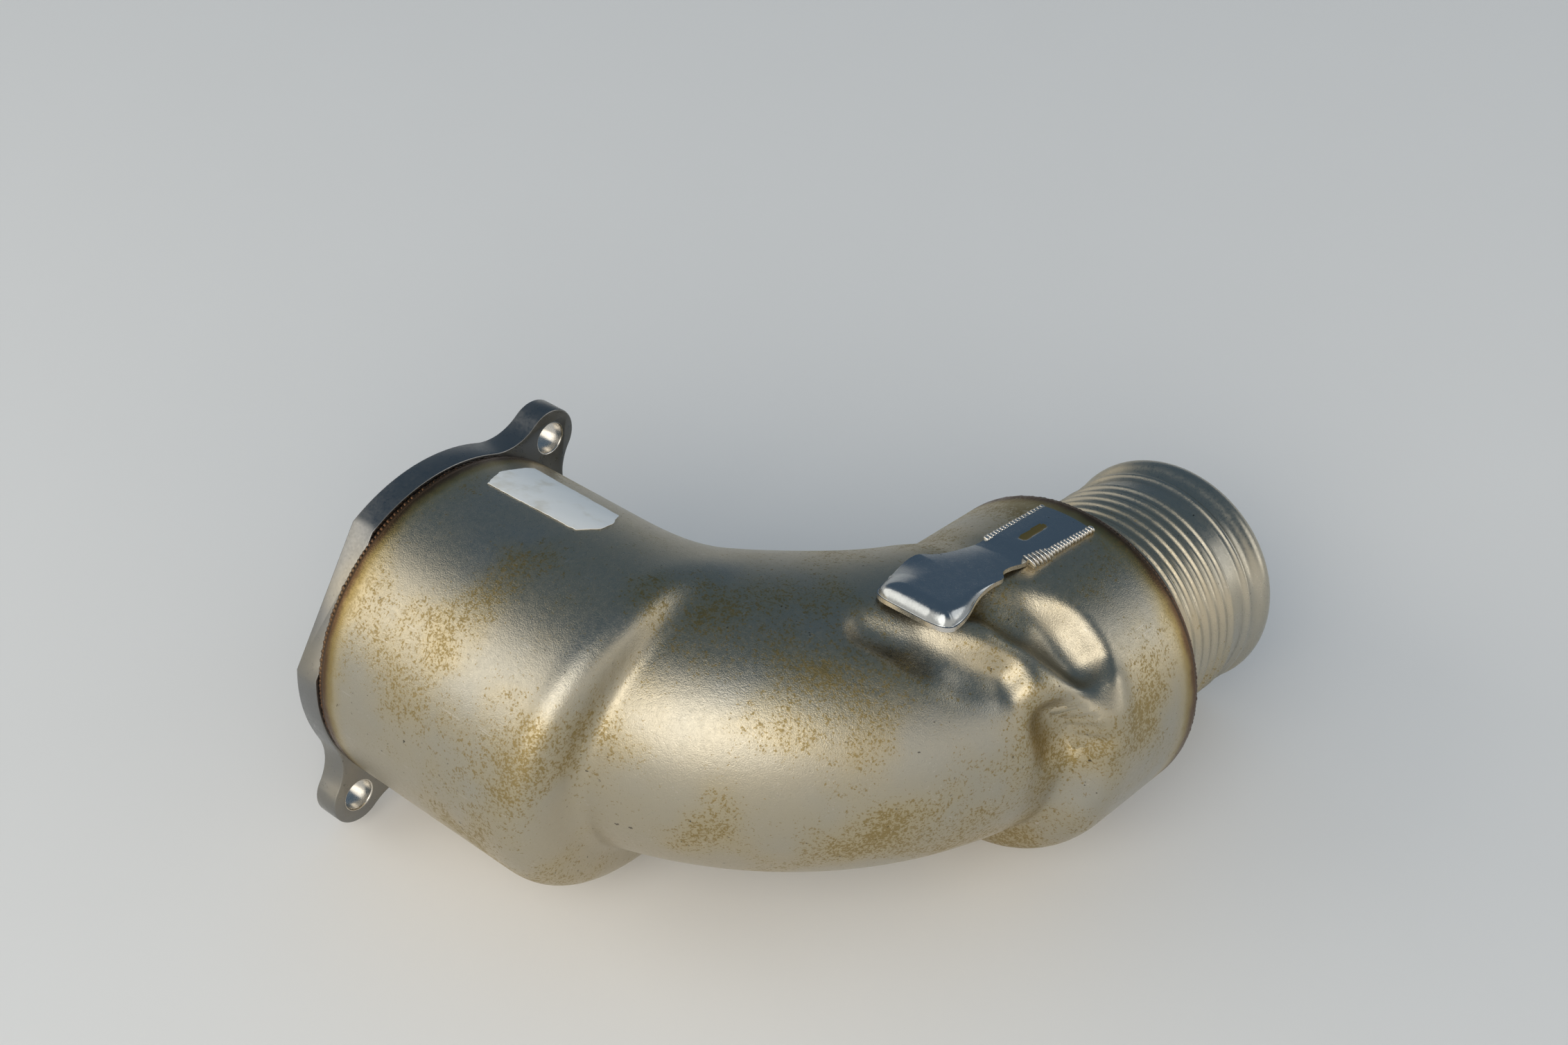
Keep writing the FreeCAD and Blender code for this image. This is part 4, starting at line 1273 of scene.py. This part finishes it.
class MUFFLER_OT_stage(bpy.types.Operator):
    """Lay the floor and set the lamps, the world and the camera."""
    bl_idname = "muffler.stage"
    bl_label = "Stage"

    def execute(self, context):
        g = context.scene.muffler_stage
        scene = context.scene
        point, normal = resting_plane()
        half = FLOOR_HALF
        corners = [(-half, -half, 0), (half, -half, 0), (half, half, 0), (-half, half, 0)]
        floor = add_mesh("floor", corners, [], [(0, 1, 2, 3)])
        turn = normal.to_track_quat("Z", "Y").to_matrix().to_4x4()
        floor.data.transform(Matrix.Translation(point) @ turn)
        floor_finish, tree, shader = material_tree("floor_paint")
        speck = noise(tree, object_vector(tree), 30.0)
        tree.links.new(tint(tree, solid_colour(g.floor), speck, 0.05, (1.0, 1.0, 1.0)),
                       shader.inputs["Base Color"])
        shader.inputs["Roughness"].default_value = 0.8
        shader.inputs["Specular IOR Level"].default_value = 0.2
        floor.data.materials.append(floor_finish)
        world = bpy.data.worlds.new("studio")
        scene.world = world
        world.use_nodes = True
        tree = world.node_tree
        background = tree.nodes["Background"]
        up = add_node(tree, "ShaderNodeSeparateXYZ")
        tree.links.new(add_node(tree, "ShaderNodeTexCoord").outputs["Generated"], up.inputs[0])
        height = plus(tree, up.outputs[2], times(tree, up.outputs[1], 0.3))
        sky = tint(tree, solid_colour(g.horizon), ramp(tree, height, 0.2, 0.55), 1.0, g.overhead)
        tree.links.new(sky, background.inputs["Color"])
        paths = add_node(tree, "ShaderNodeLightPath")
        seen = calc(tree, "MAXIMUM", paths.outputs["Is Camera Ray"], paths.outputs["Is Glossy Ray"])
        seen = calc(tree, "MAXIMUM", seen, paths.outputs["Is Transmission Ray"])
        lit = times(tree, minus(tree, 1.0, seen), g.world_level)
        tree.links.new(plus(tree, lit, seen), background.inputs["Strength"])
        middle = (CAD_LOW + CAD_HIGH) / 2
        for name, direction, size, tone in LAMPS:
            lamp = bpy.data.lights.new(name + "_lamp", "AREA")
            lamp.shape = "DISK"
            lamp.size = size
            lamp.energy = getattr(g, name + "_watts")
            lamp.color = tone
            holder = add_object(name + "_lamp", lamp)
            holder.location = middle + Vector(direction).normalized() * LAMP_DISTANCE
            holder.rotation_euler = Vector(direction).to_track_quat("Z", "Y").to_euler()
        camera = bpy.data.cameras.new("camera")
        camera.sensor_fit = "HORIZONTAL"
        camera.lens = camera.sensor_width * FOCAL_PIXELS / PHOTO_WIDTH
        camera.clip_start = 0.01
        holder = add_object("camera", camera)
        holder.matrix_world = Matrix.Translation(CAMERA_PLACE) @ Matrix(CAMERA_AXES).transposed().to_4x4()
        scene.camera = holder
        scene.view_settings.view_transform = "Standard"
        return {"FINISHED"}


OPERATORS = (MUFFLER_OT_shell, MUFFLER_OT_bracket, MUFFLER_OT_turned, MUFFLER_OT_flange, MUFFLER_OT_tag,
             MUFFLER_OT_inside, MUFFLER_OT_stage)


class MUFFLER_PT_panel(bpy.types.Panel):
    bl_label = "Turbo muffler"
    bl_idname = "MUFFLER_PT_panel"
    bl_space_type = "VIEW_3D"
    bl_region_type = "UI"
    bl_category = "Muffler"

    def draw(self, context):
        for operator in OPERATORS:
            self.layout.operator(operator.bl_idname)


GROUPS = (("muffler_shell", ShellSizes), ("muffler_trim", TrimSizes), ("muffler_finishes", Finishes),
          ("muffler_stage", StageSettings))


def register():
    for name, group in GROUPS:
        bpy.utils.register_class(group)
        setattr(bpy.types.Scene, name, PointerProperty(type=group))
    for operator in OPERATORS:
        bpy.utils.register_class(operator)
    bpy.utils.register_class(MUFFLER_PT_panel)


def unregister():
    bpy.utils.unregister_class(MUFFLER_PT_panel)
    for operator in reversed(OPERATORS):
        bpy.utils.unregister_class(operator)
    for name, group in reversed(GROUPS):
        delattr(bpy.types.Scene, name)
        bpy.utils.unregister_class(group)


def main():
    register()
    for operator in OPERATORS:
        group, call = operator.bl_idname.split(".")
        getattr(getattr(bpy.ops, group), call)()


if __name__ == "__main__":
    main()
